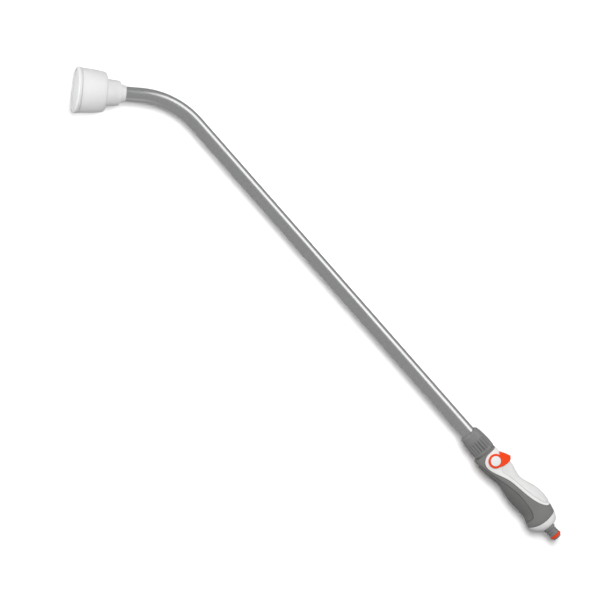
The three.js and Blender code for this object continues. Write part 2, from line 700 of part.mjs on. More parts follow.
function addSpool(lever) {
  const ringAt = SPOOL_HALF_LENGTH - 1.6;
  const floor = SPOOL_RADIUS - O_RING_THICKNESS - GAP;
  const square = driveSquare(DRIVE_SQUARE / 2);
  const journalEnd = housingSide - 0.5;
  const grooved = [
    [SPOOL_HALF_LENGTH, JOURNAL_RADIUS],
    [SPOOL_HALF_LENGTH, SPOOL_RADIUS],
    [ringAt + ringGroove, SPOOL_RADIUS],
    [ringAt + ringGroove, floor],
    [ringAt - ringGroove, floor],
    [ringAt - ringGroove, SPOOL_RADIUS],
  ];
  const mirrored = grooved.map(([x, radius]) => [-x, radius]).reverse();
  const profile = [
    [journalEnd, 0],
    [journalEnd, JOURNAL_RADIUS],
    ...grooved,
    ...mirrored,
    [-journalEnd, JOURNAL_RADIUS],
    [-journalEnd, 0],
  ];
  let spool = solid(turned(profile).rotateZ(Math.PI / 2));
  spool = spool.add(solid(cutOut(square, -webOutside, webOutside)));
  const port = rod(-FAR, FAR, SPOOL_PORT_RADIUS).rotateY(THREE.MathUtils.degToRad(-LEVER_TURN));
  spool = spool.subtract(solid(port));
  const screwEnd = ringAt + ringGroove;
  spool = spool.subtract(solid(pin(0, 0, screwEnd - GAP, FAR, SCREW_RADIUS + GAP)));
  spool = spool.subtract(solid(pin(0, 0, -FAR, GAP - screwEnd, SCREW_RADIUS + GAP)));
  addSolid(lever, "valve_spool", spool, darkPlastic);

  const headStart = webOutside + GAP;
  const headEnd = headStart + LEVER_SCREW_HEAD_HEIGHT;
  const screw = [
    [screwEnd, 0],
    [screwEnd, SCREW_RADIUS],
    [headStart, SCREW_RADIUS],
    [headStart, SCREW_HEAD_RADIUS],
    [headEnd, SCREW_HEAD_RADIUS],
    [headEnd, 0],
  ];
  const capInside = headEnd + GAP;
  const capOutside = capInside + HUB_CAP_THICKNESS;
  const skirt = HUB_CAP_RADIUS - 1.2;
  const cap = [
    [capInside, 0],
    [capInside, skirt],
    [webOutside + GAP, skirt],
    [webOutside + GAP, HUB_CAP_RADIUS],
    [capOutside - 0.4, HUB_CAP_RADIUS],
    [capOutside, HUB_CAP_RADIUS - 0.4],
    [capOutside, 0],
  ];
  for (const [side, turn] of [["left", Math.PI / 2], ["right", -Math.PI / 2]]) {
    const seal = ring(ringAt, floor + GAP, SPOOL_RADIUS, SMALL_SIDES);
    addGeometry(lever, "spool_o_ring_" + side, seal, darkRubber).rotation.z = turn;
    addGeometry(lever, "lever_screw_" + side, turned(screw, SMALL_SIDES), steel).rotation.z = turn;
    addGeometry(lever, "hub_cap_" + side, turned(cap), whitePlastic).rotation.z = turn;
  }
}

// ---------------------------------------------------------------------------------------------
// Tube socket, collar nut and tube
// ---------------------------------------------------------------------------------------------
const socketStart = HANDLE_FRONT + GAP;
const socketBack = PIVOT_X + valveRadius + 2;
const socketEnd = socketStart + SOCKET_LENGTH;
const mouthStart = socketEnd - SOCKET_MOUTH_DEPTH;
const tubeBore = TUBE_RADIUS + GAP;
const socketRadius = TUBE_RADIUS + SOCKET_WALL;
const mouthRadius = TUBE_RADIUS + SOCKET_MOUTH_ROOM;
const tubeStart = socketStart + SOCKET_FLOOR + GAP;

function addTubeSocket(joint) {
  const profile = [
    [socketBack, 0],
    [socketBack, SOCKET_SPIGOT_RADIUS],
    [socketStart, SOCKET_SPIGOT_RADIUS],
    [socketStart, socketRadius],
    [socketEnd, socketRadius],
    [socketEnd, mouthRadius],
    [mouthStart, mouthRadius],
    [mouthStart, tubeBore],
    [socketStart + SOCKET_FLOOR, tubeBore],
    [socketStart + SOCKET_FLOOR, 0],
  ];
  const spigotLift = PIVOT_LIFT - TUBE_LIFT;
  const spigotBoreRadius = OUTLET_SPIGOT_RADIUS + GAP;
  const spigotBore = rod(socketBack - 1, outletEnd + GAP, spigotBoreRadius).translate(0, 0, spigotLift);
  const passage = rod(socketBack, tubeStart, PASSAGE_RADIUS).translate(0, 0, spigotLift);
  const socket = solid(turned(profile)).subtract(solid(spigotBore)).subtract(solid(passage));
  addSolid(joint, "tube_socket", socket, darkPlastic);
  const mouthSealThickness = mouthRadius - tubeBore;
  const sealAt = mouthStart + GAP + mouthSealThickness / 2;
  addGeometry(joint, "tube_o_ring", ring(sealAt, tubeBore, mouthRadius - GAP), darkRubber);
  const colletBack = mouthStart + 2 * GAP + mouthSealThickness;
  const colletFront = socketEnd - GAP;
  const collet = [
    [colletBack, tubeBore],
    [colletBack, mouthRadius - GAP],
    [colletFront, mouthRadius - GAP],
    [colletFront, tubeBore],
  ];
  addGeometry(joint, "clamp_collet", turned(collet), darkPlastic);
}

// The collar nut's outline: how far from its back, how thick it is over the tube there, and
// whether the flutes run there.
const COLLAR_OUTLINE = [
  [0, 5.2, false],
  [2.2, 5.7, false],
  [4.4, 5.8, true],
  [12, 5.9, true],
  [19.5, 5.5, true],
  [22.5, 5.2, false],
  [28, 4.5, false],
  [32, 3.7, false],
  [34.7, 1.2, false],
];
const COLLAR_DRAWN_LENGTH = 34.7;

function addCollar(joint) {
  const bore = socketRadius + GAP;
  const noseBack = socketEnd + GAP;
  const front = socketStart + COLLAR_LENGTH;
  const scale = COLLAR_LENGTH / COLLAR_DRAWN_LENGTH;
  const outside = COLLAR_OUTLINE.map(([along, wall]) => [socketStart + along * scale, TUBE_RADIUS + wall]);
  const profile = [
    [socketStart, bore],
    ...outside,
    [front, tubeBore],
    [noseBack, tubeBore],
    [noseBack, bore],
  ];
  const fluted = COLLAR_OUTLINE.filter(([, , flute]) => flute).map(([along]) => along * scale);
  const fluteStart = socketStart + fluted[0] - 0.1;
  const fluteEnd = socketStart + fluted[fluted.length - 1] + 0.1;
  const half = Math.PI / FLUTE_COUNT;
  const flute = (x, y, z) => {
    const radius = Math.hypot(y, z);
    const inFlute = Math.round(Math.atan2(y, z) / half) % 2 !== 0;
    const cut = radius > bore + 1 && x > fluteStart && x < fluteEnd && inFlute;
    const share = cut ? (radius - FLUTE_DEPTH) / radius : 1;
    return [x, y * share, z * share];
  };
  addGeometry(joint, "fluted_collar", moved(turned(profile, 2 * FLUTE_COUNT), flute), greyPlastic);
}

// The place on the tube's centre line a length along it from x = 0, and how far it has turned.
function alongTube(length) {
  if (length < BEND_START) {
    return { x: length, lift: 0, turn: 0 };
  }
  const turn = Math.min((length - BEND_START) / BEND_RADIUS, TURN);
  const rest = Math.max(length - BEND_START - BEND_LENGTH, 0);
  return {
    x: BEND_START + BEND_RADIUS * Math.sin(turn) + rest * Math.cos(turn),
    lift: -BEND_RADIUS * (1 - Math.cos(turn)) - rest * Math.sin(turn),
    turn,
  };
}

// The rose's pieces stack up behind its face, and the tube ends inside its neck.
const neckRadius = TUBE_RADIUS + NECK_WALL;
const neckBackRadius = TUBE_RADIUS + NECK_BACK_WALL;
const neckSpigotRadius = TUBE_RADIUS + NECK_SPIGOT_WALL;
const neckPassageRadius = TUBE_RADIUS - NECK_STEP;
const neckFront = ROSE_DEPTH + GAP;
const neckBack = neckFront + NECK_LENGTH;
const tubeStop = neckBack - TUBE_INTO_NECK;
const tubeEnd = BEND_START + BEND_LENGTH + FACE_FROM_CORNER - BEND_TANGENT - tubeStop - GAP;

function addTube(joint) {
  const bends = Array.from({ length: BEND_STEPS + 1 }, (_, i) => BEND_START + (i * BEND_LENGTH) / BEND_STEPS);
  const stations = [tubeStart, ...bends, tubeEnd];
  const outside = stations.map((length) => [length, TUBE_RADIUS]);
  const inside = stations.map((length) => [length, TUBE_RADIUS - TUBE_WALL]).reverse();
  const bend = (length, y, z) => {
    const { x, lift, turn } = alongTube(length);
    return [x + z * Math.sin(turn), y, lift + z * Math.cos(turn)];
  };
  addGeometry(joint, "lance_tube", moved(turned([...outside, ...inside], TUBE_SIDES), bend), aluminium);
}

// ---------------------------------------------------------------------------------------------
// Rose: drawn with its face at x = 0, facing +x
// ---------------------------------------------------------------------------------------------
const shellFront = BEZEL_DEPTH + GAP;
const shellRadius = ROSE_RADIUS - BEZEL_PROUD;
const plateRadius = ROSE_RADIUS - BEZEL_WIDTH - GAP;
const nutFront = neckBack + GAP;
const nutBack = nutFront + NUT_LENGTH;
const neckRingRadius = (neckSpigotRadius + neckRadius) / 2;
const neckRingHalf = 0.8;

function addRoseCup(rose) {
  const backRadius = shellRadius - ROSE_BACK_TAPER;
  const cornerStart = ROSE_DEPTH - ROSE_BACK_CORNER;
  const corner = [0, 0.25, 0.5, 0.75, 1].map((share) => {
    const angle = (share * Math.PI) / 2;
    const x = -cornerStart - ROSE_BACK_CORNER * Math.sin(angle);
    return [x, backRadius - ROSE_BACK_CORNER * (1 - Math.cos(angle))];
  });
  const innerCorner = corner.map(([x, radius]) => [x + ROSE_CORNER_INSET, radius - ROSE_CORNER_INSET]);
  const ledge = plateRadius - SEAL_WIDTH;
  const profile = [
    [-shellFront, ledge],
    [-shellFront, shellRadius],
    ...corner,
    [-ROSE_DEPTH, neckSpigotRadius + GAP],
    [-ROSE_DEPTH + ROSE_WALL, neckSpigotRadius + GAP],
    ...innerCorner.reverse(),
    [-shellFront - ROSE_WALL, shellRadius - ROSE_WALL],
    [-shellFront - ROSE_WALL, ledge],
  ];
  addGeometry(rose, "rose_shell", turned(profile), whitePlastic);

  const inside = plateRadius + GAP;
  const beadMiddle = (ROSE_RADIUS + inside) / 2;
  const bezel = [
    [-shellFront + GAP, inside],
    [-BEZEL_ROUNDING, inside],
    [-BEZEL_ROUNDING / 4, inside + BEZEL_ROUNDING * 0.75],
    [0, beadMiddle],
    [-BEZEL_ROUNDING / 4, ROSE_RADIUS - BEZEL_ROUNDING * 0.75],
    [-BEZEL_ROUNDING, ROSE_RADIUS],
    [-3 * BEZEL_ROUNDING, ROSE_RADIUS],
    [-shellFront + GAP, ROSE_RADIUS - BEZEL_ROUNDING / 2],
  ];
  addGeometry(rose, "rose_bezel", turned(bezel), whitePlastic);

  const face = [0, 0.35, 0.7, 1].map((share) => {
    return [-PLATE_RECESS + PLATE_DOME * (1 - share ** 2), share * plateRadius];
  });
  const back = face.map(([x, radius]) => [x - PLATE_THICKNESS, radius]).reverse();
  addGeometry(rose, "spray_plate", turned([...face, ...back]), whitePlastic);

  const sealFront = -PLATE_RECESS - PLATE_THICKNESS - GAP;
  const sealBack = -shellFront + GAP;
  const seal = [[sealBack, ledge], [sealBack, plateRadius], [sealFront, plateRadius], [sealFront, ledge]];
  addGeometry(rose, "plate_seal", turned(seal), darkRubber);
}

function addRoseNeck(rose) {
  const lipBack = ROSE_DEPTH - ROSE_WALL - GAP;
  const lipFront = lipBack - NECK_LIP;
  const profile = [
    [-lipFront, neckPassageRadius],
    [-lipFront, neckSpigotRadius + NECK_LIP - NECK_LIP_CHAMFER],
    [-lipBack, neckSpigotRadius + NECK_LIP],
    [-lipBack, neckSpigotRadius],
    [-neckFront, neckSpigotRadius],
    [-neckFront, neckRingRadius - neckRingHalf - GAP],
    [-neckFront - 2 * neckRingHalf, neckRingRadius - neckRingHalf - GAP],
    [-neckFront - 2 * neckRingHalf, neckRingRadius + neckRingHalf + GAP],
    [-neckFront, neckRingRadius + neckRingHalf + GAP],
    [-neckFront, neckRadius],
    [-neckFront - NECK_STRAIGHT / 2, neckRadius],
    [-neckFront - NECK_STRAIGHT, neckRadius - (NECK_WALL - NECK_BACK_WALL) / 4],
    [-neckBack, neckBackRadius],
    [-neckBack, tubeBore],
    [-tubeStop, tubeBore],
    [-tubeStop, neckPassageRadius],
  ];
  addGeometry(rose, "rose_neck", turned(profile), whitePlastic);
  const sealInside = neckRingRadius - neckRingHalf;
  const sealOutside = neckRingRadius + neckRingHalf;
  const faceSeal = ring(-neckFront - neckRingHalf + GAP, sealInside, sealOutside);
  addGeometry(rose, "neck_o_ring", faceSeal, darkRubber);
  const nutFrontRadius = TUBE_RADIUS + NUT_FRONT_WALL;
  const sealRoom = nutFrontRadius - NUT_LIP;
  const nut = [
    [-nutFront, sealRoom],
    [-nutFront, nutFrontRadius],
    [-nutBack, TUBE_RADIUS + NUT_BACK_WALL],
    [-nutBack, tubeBore],
    [-nutFront - NUT_SEAL_DEPTH, tubeBore],
    [-nutFront - NUT_SEAL_DEPTH, sealRoom],
  ];
  addGeometry(rose, "rose_nut", turned(nut), whitePlastic);
  addGeometry(rose, "nut_o_ring", ring(-nutFront - NUT_SEAL_DEPTH / 2, tubeBore, sealRoom - GAP), darkRubber);
}

// ---------------------------------------------------------------------------------------------
// Assembly
// ---------------------------------------------------------------------------------------------
const lance = new THREE.Group();
addHosePlug(lance);
addEndCap(lance);
addInletPipe(lance);
addShells(lance);
addHandleSkin(lance);
addValveBody(lance);

const lever = new THREE.Group();
lever.position.set(PIVOT_X, 0, PIVOT_LIFT);
addLever(lever);
addSpool(lever);
lance.add(lever);

const tubeJoint = new THREE.Group();
tubeJoint.position.z = TUBE_LIFT;
addTubeSocket(tubeJoint);
addCollar(tubeJoint);
addTube(tubeJoint);
lance.add(tubeJoint);

const rose = new THREE.Group();
rose.position.set(
  BEND_CORNER + FACE_FROM_CORNER * Math.cos(TURN),
  0,
  TUBE_LIFT - FACE_FROM_CORNER * Math.sin(TURN),
);
rose.rotation.y = TURN;
addRoseCup(rose);
addRoseNeck(rose);
lance.add(rose);

const wateringLance = new THREE.Group();
lance.rotation.x = Math.PI / 2;
wateringLance.add(lance);

export default wateringLance;
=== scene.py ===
# %% [markdown]
# # A garden watering lance
# A lance like this is a long metal tube with a handle and a thumb valve at one end and a broad
# rose at the other. The design's frame gives every part's place. Here each visible part gets a
# fine mesh and a finish, built in the same frame, in metres.

import json
import math

import bmesh
import bpy
from mathutils import Matrix, Vector
from mathutils.geometry import delaunay_2d_cdt
from mathutils.kdtree import KDTree

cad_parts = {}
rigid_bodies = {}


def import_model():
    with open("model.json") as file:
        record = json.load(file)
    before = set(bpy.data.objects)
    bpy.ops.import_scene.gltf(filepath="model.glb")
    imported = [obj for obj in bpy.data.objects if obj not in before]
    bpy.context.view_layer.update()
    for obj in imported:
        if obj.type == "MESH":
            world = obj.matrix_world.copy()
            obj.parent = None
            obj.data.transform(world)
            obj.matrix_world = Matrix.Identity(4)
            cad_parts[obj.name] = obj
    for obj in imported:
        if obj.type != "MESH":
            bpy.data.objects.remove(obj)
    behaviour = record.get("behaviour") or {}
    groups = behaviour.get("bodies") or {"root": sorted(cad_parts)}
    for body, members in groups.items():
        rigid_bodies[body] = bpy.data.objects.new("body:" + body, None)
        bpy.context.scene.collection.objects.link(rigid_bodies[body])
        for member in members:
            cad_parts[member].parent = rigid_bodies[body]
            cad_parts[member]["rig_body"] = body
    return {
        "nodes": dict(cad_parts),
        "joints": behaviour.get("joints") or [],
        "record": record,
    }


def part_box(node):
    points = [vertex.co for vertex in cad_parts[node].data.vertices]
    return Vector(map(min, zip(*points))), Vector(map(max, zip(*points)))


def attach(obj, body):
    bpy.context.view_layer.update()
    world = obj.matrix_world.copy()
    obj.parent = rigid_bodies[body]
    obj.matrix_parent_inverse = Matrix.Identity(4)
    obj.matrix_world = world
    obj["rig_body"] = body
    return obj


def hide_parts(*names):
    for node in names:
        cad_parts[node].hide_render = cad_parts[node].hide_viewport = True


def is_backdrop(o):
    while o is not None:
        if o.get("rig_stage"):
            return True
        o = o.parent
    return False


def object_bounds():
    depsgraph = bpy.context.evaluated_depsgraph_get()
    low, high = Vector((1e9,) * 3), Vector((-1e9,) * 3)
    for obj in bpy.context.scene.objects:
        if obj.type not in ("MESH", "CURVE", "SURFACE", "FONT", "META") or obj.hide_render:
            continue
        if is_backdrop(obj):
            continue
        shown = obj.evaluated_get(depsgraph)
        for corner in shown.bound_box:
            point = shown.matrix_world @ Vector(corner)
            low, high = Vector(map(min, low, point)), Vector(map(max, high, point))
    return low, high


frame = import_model()
cad_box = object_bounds()

# %% [markdown]
# ## How lengths and directions are written
# The lance is drawn as it is held: x from the hose to the rose, then sideways, then the lift
# towards the lever's side. Lengths are in millimetres while drawing. One function turns such a
# place into the frame's metres, where the lance lies on its side and the lever's side is -Y.

# %% The drawing frame and the sizes taken from the nodes
MM = 0.001
GAP = 0.3


def to_frame(x, side, lift):
    return Vector((x * MM, -lift * MM, side * MM))


def span(node, axis):
    low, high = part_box(node)
    return low[axis] / MM, high[axis] / MM


HANDLE_BACK = span("end_cap", 0)[0]
HANDLE_FRONT = span("soft_grip", 0)[1]
PIVOT_X = frame["joints"][0]["pos_m"][0] / MM
PIVOT_LIFT = -frame["joints"][0]["pos_m"][1] / MM
LEVER_TURN = frame["joints"][0]["range_deg"][1]
LEVER_HALF = span("thumb_lever", 2)[1]
CAP_HALF = span("hub_cap_left", 2)[1]
COLLAR_BACK, COLLAR_FRONT = span("fluted_collar", 0)
TUBE_LIFT = -sum(span("fluted_collar", 1)) / 2
print(f"handle {HANDLE_BACK:.1f} to {HANDLE_FRONT:.1f} mm, pivot at {PIVOT_X:.1f}, {PIVOT_LIFT:.1f} mm")

# %% [markdown]
# ## Shader maths as expressions
# A material is a small program. The class below wraps one socket, so that sums and products of
# sockets read like ordinary Python and add their Math nodes by themselves. Every other node comes
# from one method, which sets the node's settings first and then its inputs.

# %% The socket wrapper and the material maker
class Wire:
    def __init__(self, tree, socket):
        self.tree = tree
        self.socket = socket

    def math(self, operation, first, second):
        return add_node(self.tree, "ShaderNodeMath", {"operation": operation}, {0: first, 1: second})

    def __add__(self, other):
        return self.math("ADD", self, other)

    def __radd__(self, other):
        return self.math("ADD", other, self)

    def __sub__(self, other):
        return self.math("SUBTRACT", self, other)

    def __rsub__(self, other):
        return self.math("SUBTRACT", other, self)

    def __mul__(self, other):
        return self.math("MULTIPLY", self, other)

    def __rmul__(self, other):
        return self.math("MULTIPLY", other, self)


def add_node(tree, kind, settings=None, inputs=None, output=0):
    node = tree.nodes.new(kind)
    for name, value in (settings or {}).items():
        if name == "stops":
            for element, (place, tone) in zip(node.color_ramp.elements, value):
                element.position = place
                element.color = (tone, tone, tone, 1)
        else:
            setattr(node, name, value)
    for name, value in (inputs or {}).items():
        if isinstance(value, Wire):
            tree.links.new(value.socket, node.inputs[name])
        else:
            node.inputs[name].default_value = value
    return Wire(tree, node.outputs[output])


class Finish:
    def __init__(self, name, **constants):
        self.material = bpy.data.materials.new(name)
        self.material.use_nodes = True
        self.tree = self.material.node_tree
        self.shader = self.tree.nodes["Principled BSDF"]
        for socket, value in constants.items():
            self.shader.inputs[socket.replace("_", " ")].default_value = value

    def node(self, kind, settings=None, inputs=None, output=0):
        return add_node(self.tree, kind, settings, inputs, output)

    def place(self, stretch=(1, 1, 1)):
        where = self.node("ShaderNodeTexCoord", output="Object")
        return self.node("ShaderNodeMapping", inputs={"Vector": where, "Scale": stretch})

    def noise(self, scale, detail=2.0, vector=None):
        at = vector or self.place()
        return self.node("ShaderNodeTexNoise", inputs={"Vector": at, "Scale": scale, "Detail": detail})

    def blend_colours(self, share, first, second):
        settings = {"data_type": "RGBA", "blend_type": "MIX"}
        inputs = {0: share, 6: (*first, 1), 7: (*second, 1)}
        return self.node("ShaderNodeMix", settings, inputs, output=2)

    def bump(self, height, strength, distance):
        inputs = {"Height": height, "Strength": strength, "Distance": distance}
        return self.node("ShaderNodeBump", inputs=inputs)

    def feed(self, **sockets):
        for socket, wire in sockets.items():
            self.tree.links.new(wire.socket, self.shader.inputs[socket.replace("_", " ")])
        return self.material


# %% [markdown]
# ## Moulded plastics and rubbers
# Moulded plastic is never quite one tone: the resin flows in faint clouds, and the mould leaves a
# very fine grain that breaks up the gloss. A soft-touch grip has a coarser, drier grain. So one
# recipe serves them all, with its own tone, gloss and grain for each.

# %% Plastics
def moulded(name, tone, shade, gloss, grain_size, grain, **constants):
    finish = Finish(name, **constants)
    clouds = finish.noise(38.0, 3.0)
    flow = finish.noise(210.0, 2.0)
    speck = finish.noise(1 / (grain_size * MM), 3.0)
    colour = finish.blend_colours(clouds * 0.65 + flow * 0.35, tone, shade)
    roughness = gloss + (clouds - 0.5) * 0.10 + (speck - 0.5) * 0.10
    normal = finish.bump(speck, grain, 0.12 * MM)
    return finish.feed(Base_Color=colour, Roughness=roughness, Normal=normal)


white = moulded("white_moulded", (0.69, 0.69, 0.685), (0.655, 0.655, 0.65), 0.36, 0.5, 0.10)
panel_white = moulded("panel_moulded", (0.63, 0.63, 0.625), (0.58, 0.58, 0.577), 0.5, 0.9, 0.3)
rose_white = moulded("rose_moulded", (0.605, 0.607, 0.605), (0.56, 0.562, 0.562), 0.42, 0.6, 0.14)
soft_grey = moulded("soft_touch_grey", (0.171, 0.171, 0.168), (0.145, 0.145, 0.142), 0.62, 0.45, 0.55)
pad_grey = moulded("pad_grey", (0.132, 0.132, 0.129), (0.114, 0.114, 0.111), 0.68, 0.6, 0.7)
hard_grey = moulded("hard_grey", (0.182, 0.183, 0.182), (0.152, 0.153, 0.152), 0.36, 0.5, 0.25)
orange = moulded("orange_moulded", (0.78, 0.058, 0.009), (0.66, 0.043, 0.006), 0.30, 0.5, 0.10)
orange_ring = moulded("orange_rubber", (0.70, 0.055, 0.010), (0.56, 0.035, 0.006), 0.48, 0.4, 0.2)
dark = moulded("dark_moulded", (0.05, 0.052, 0.055), (0.035, 0.036, 0.04), 0.45, 0.5, 0.2)
black_rubber = moulded("black_rubber", (0.022, 0.022, 0.022), (0.015, 0.015, 0.016), 0.6, 0.4, 0.3)

# %% [markdown]
# ## Metals
# The lance is drawn aluminium, satin finished: fine lines run along it and stretch its
# reflections across the tube. The tube's mesh carries the length and the turn round the tube at
# each point, so that the lines follow the bend.

# %% Aluminium and steel
def drawn_aluminium():
    finish = Finish("drawn_aluminium", Metallic=1.0, Anisotropic=0.35)
    lay = finish.node("ShaderNodeAttribute", {"attribute_name": "lay"}, output="Vector")
    long_lines = finish.node("ShaderNodeMapping", inputs={"Vector": lay, "Scale": (6.0, 260.0, 260.0)})
    lines = finish.noise(1.0, 4.0, long_lines)
    broad = finish.node("ShaderNodeMapping", inputs={"Vector": lay, "Scale": (14.0, 2.0, 2.0)})
    clouds = finish.noise(1.0, 2.0, broad)
    colour = finish.blend_colours(clouds * 0.6 + lines * 0.4, (0.86, 0.865, 0.87), (0.76, 0.765, 0.77))
    roughness = 0.28 + (lines - 0.5) * 0.18 + (clouds - 0.5) * 0.06
    normal = finish.bump(lines, 0.12, 0.05 * MM)
    return finish.feed(Base_Color=colour, Roughness=roughness, Normal=normal)


def turned_steel():
    finish = Finish("turned_steel", Metallic=1.0)
    speck = finish.noise(900.0, 3.0)
    colour = finish.blend_colours(speck, (0.56, 0.57, 0.58), (0.44, 0.45, 0.46))
    return finish.feed(Base_Color=colour, Roughness=0.28 + speck * 0.14)


aluminium = drawn_aluminium()
steel = turned_steel()
SLOT_FINISH = {
    "grey_plastic": hard_grey,
    "soft_grey": soft_grey,
    "white_plastic": white,
    "orange_plastic": orange,
    "orange_rubber": orange_ring,
    "dark_plastic": dark,
    "dark_rubber": black_rubber,
    "aluminium": aluminium,
    "steel": steel,
}
node_slots = {row["node"]: row["material_slot"] for row in frame["record"]["subparts"]}
for node, piece in frame["nodes"].items():
    piece.data.materials.clear()
    piece.data.materials.append(SLOT_FINISH[node_slots[node]])
print("finishes:", len(bpy.data.materials))

# %% [markdown]
# ## Turned pieces
# Most of the lance is round, so most pieces are a side profile turned about an axis. What makes
# such a piece look real is that no edge is knife sharp, so the profile's corners are rounded
# before it is turned.

# %% Making a piece, rounding a profile and turning it
def make_piece(name, vertices, faces, material, replaced, sharp=40):
    mesh = bpy.data.meshes.new(name)
    mesh.from_pydata(vertices, [], faces)
    work = bmesh.new()
    work.from_mesh(mesh)
    bmesh.ops.remove_doubles(work, verts=work.verts, dist=1e-7)
    bmesh.ops.recalc_face_normals(work, faces=work.faces)
    work.to_mesh(mesh)
    work.free()
    mesh.shade_smooth()
    mesh.set_sharp_from_angle(angle=math.radians(sharp))
    piece = bpy.data.objects.new(name, mesh)
    bpy.context.scene.collection.objects.link(piece)
    mesh.materials.append(material)
    body = frame["nodes"][replaced[0]]["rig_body"]
    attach(piece, body)
    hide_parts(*replaced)
    print(f"{name}: {len(mesh.polygons)} faces, for {', '.join(replaced)}")
    return piece


def rounded(profile, steps=5):
    """A closed profile of (x, radius, rounding) points, with an arc at each corner."""
    points = []
    count = len(profile)
    for i, (x, radius, rounding) in enumerate(profile):
        corner = Vector((x, radius))
        before = Vector(profile[i - 1][:2]) - corner
        after = Vector(profile[(i + 1) % count][:2]) - corner
        reach = min(rounding, before.length * 0.48, after.length * 0.48)
        if reach <= 0:
            points.append(tuple(corner))
            continue
        start = corner + before.normalized() * reach
        end = corner + after.normalized() * reach
        for step in range(steps + 1):
            t = step / steps
            points.append(tuple(start * (1 - t) ** 2 + corner * 2 * t * (1 - t) + end * t**2))
    return points


def ring_faces(rows, columns, closed_rows):
    faces = []
    for i in range(rows if closed_rows else rows - 1):
        below = (i + 1) % rows
        for j in range(columns):
            across = (j + 1) % columns
            here, under = i * columns, below * columns
            faces.append((here + j, here + across, under + across, under + j))
    return faces


def turn(profile, sides, place, flute=None):
    """The profile's points swept round the axis; place gives each point's place in the frame."""
    vertices = []
    for x, radius in profile:
        for j in range(sides):
            angle = 2 * math.pi * j / sides
            out = radius - (flute(x, radius, angle) if flute else 0)
            vertices.append(place(x, out * math.sin(angle), out * math.cos(angle)))
    from_axis_to_axis = profile[0][1] == 0 and profile[-1][1] == 0
    return vertices, ring_faces(len(profile), sides, not from_axis_to_axis)


def on_axis(lift):
    return lambda x, side, up: to_frame(x, side, up + lift)


# %% [markdown]
# ## The hose plug
# The plug is what a quick coupling snaps onto: a short tip, a sealing ring in a groove, a locking
# collar and a shoulder, all turned, with a bore right through.

# %% Hose plug and its sealing ring
plug_tail_end = span("hose_plug", 0)[1]
plug_profile = rounded(
    [
        (0.0, 3.8, 0.5), (0.0, 5.8, 0.6), (2.0, 6.0, 0.1), (6.5, 6.0, 0.1), (6.5, 7.4, 0.5),
        (10.0, 7.4, 0.4), (10.3, 6.2, 0.2), (11.2, 6.2, 0.2), (11.5, 7.4, 0.4), (13.6, 7.4, 0.4),
        (14.0, 6.5, 0.3), (15.2, 6.5, 0.3), (16.0, 8.4, 0.7),
        (HANDLE_BACK - GAP, 8.4, 0.5), (HANDLE_BACK - GAP, 6.6, 0.1), (plug_tail_end, 6.6, 0.4),
        (plug_tail_end, 3.8, 0.3),
    ]
)
make_piece("hose_plug_fine", *turn(plug_profile, 72, on_axis(0)), hard_grey, ["hose_plug"])
ring_start, ring_end = span("plug_o_ring", 0)
ring_profile = rounded(
    [
        (ring_start, 6.3, 0.3), (ring_start, 7.4, 0.9), (ring_start + 1.0, 8.0, 1.0),
        (ring_end - 1.0, 8.0, 1.0), (ring_end, 7.4, 0.9), (ring_end, 6.3, 0.3),
    ]
)
make_piece("plug_ring_fine", *turn(ring_profile, 72, on_axis(0)), orange_ring, ["plug_o_ring"])

# %% [markdown]
# ## The handle's surface
# The handle isn't round. Its top and bottom lines, its width and its squareness each change along
# it, so any point of its surface is found from how far along it is and the angle round it. Every
# skin piece of the handle is cut from this one surface, so that the pieces always fit together.

# %% Sections of the handle
HANDLE_OUTLINE = [
    (0, 14.4, -10.8, 12.6, 2.0),
    (3.5, 17.2, -14.8, 15.5, 2.0),
    (9, 20.0, -18.8, 17.4, 2.1),
    (16, 21.7, -21.0, 18.3, 2.2),
    (23.4, 23.3, -19.3, 17.9, 2.2),
    (31.4, 24.9, -16.3, 17.2, 2.3),
    (42, 25.2, -16.0, 16.9, 2.3),
    (55.4, 23.2, -16.8, 16.5, 2.3),
    (67.4, 18.9, -16.0, 15.9, 2.4),
    (79.4, 16.4, -14.5, 15.2, 2.6),
    (90.4, 17.9, -13.4, 14.6, 2.8),
    (99.4, 19.8, -15.0, 14.2, 3.0),
    (119.4, 18.0, -17.4, 14.0, 3.2),
    (129.4, 17.7, -16.6, 14.0, 3.2),
    (135.4, 17.1, -15.8, 14.0, 3.0),
]
SWEEP_RADIUS = 16.2
SWEEP_BACK = math.radians(41)
SWEEP_FRONT = math.radians(LEVER_TURN - 15)


def smooth_value(table, column, at):
    """A smooth curve through one column of a table whose first column says where."""
    last = len(table) - 1
    if at <= table[0][0]:
        return table[0][column]
    if at >= table[last][0]:
        return table[last][column]
    i = max(k for k in range(last) if table[k][0] <= at)

    def slope(k):
        low, high = max(k - 1, 0), min(k + 1, last)
        return (table[high][column] - table[low][column]) / (table[high][0] - table[low][0])

    width = table[i + 1][0] - table[i][0]
    t = (at - table[i][0]) / width
    start, end = table[i][column], table[i + 1][column]
    return (
        start * (2 * t**3 - 3 * t**2 + 1)
        + slope(i) * width * (t**3 - 2 * t**2 + t)
        + end * (3 * t**2 - 2 * t**3)
        + slope(i + 1) * width * (t**3 - t**2)
    )


def lever_room(x):
    """The greatest lift that clears the lever's sweep over the handle."""
    along = x - PIVOT_X
    inside = math.sqrt(max(SWEEP_RADIUS**2 - along**2, 0))
    outside = abs(along) / math.tan(SWEEP_BACK if along < 0 else SWEEP_FRONT)
    return PIVOT_LIFT + max(inside, outside)


SKIN_MARGIN = 0.03
section_store = {}


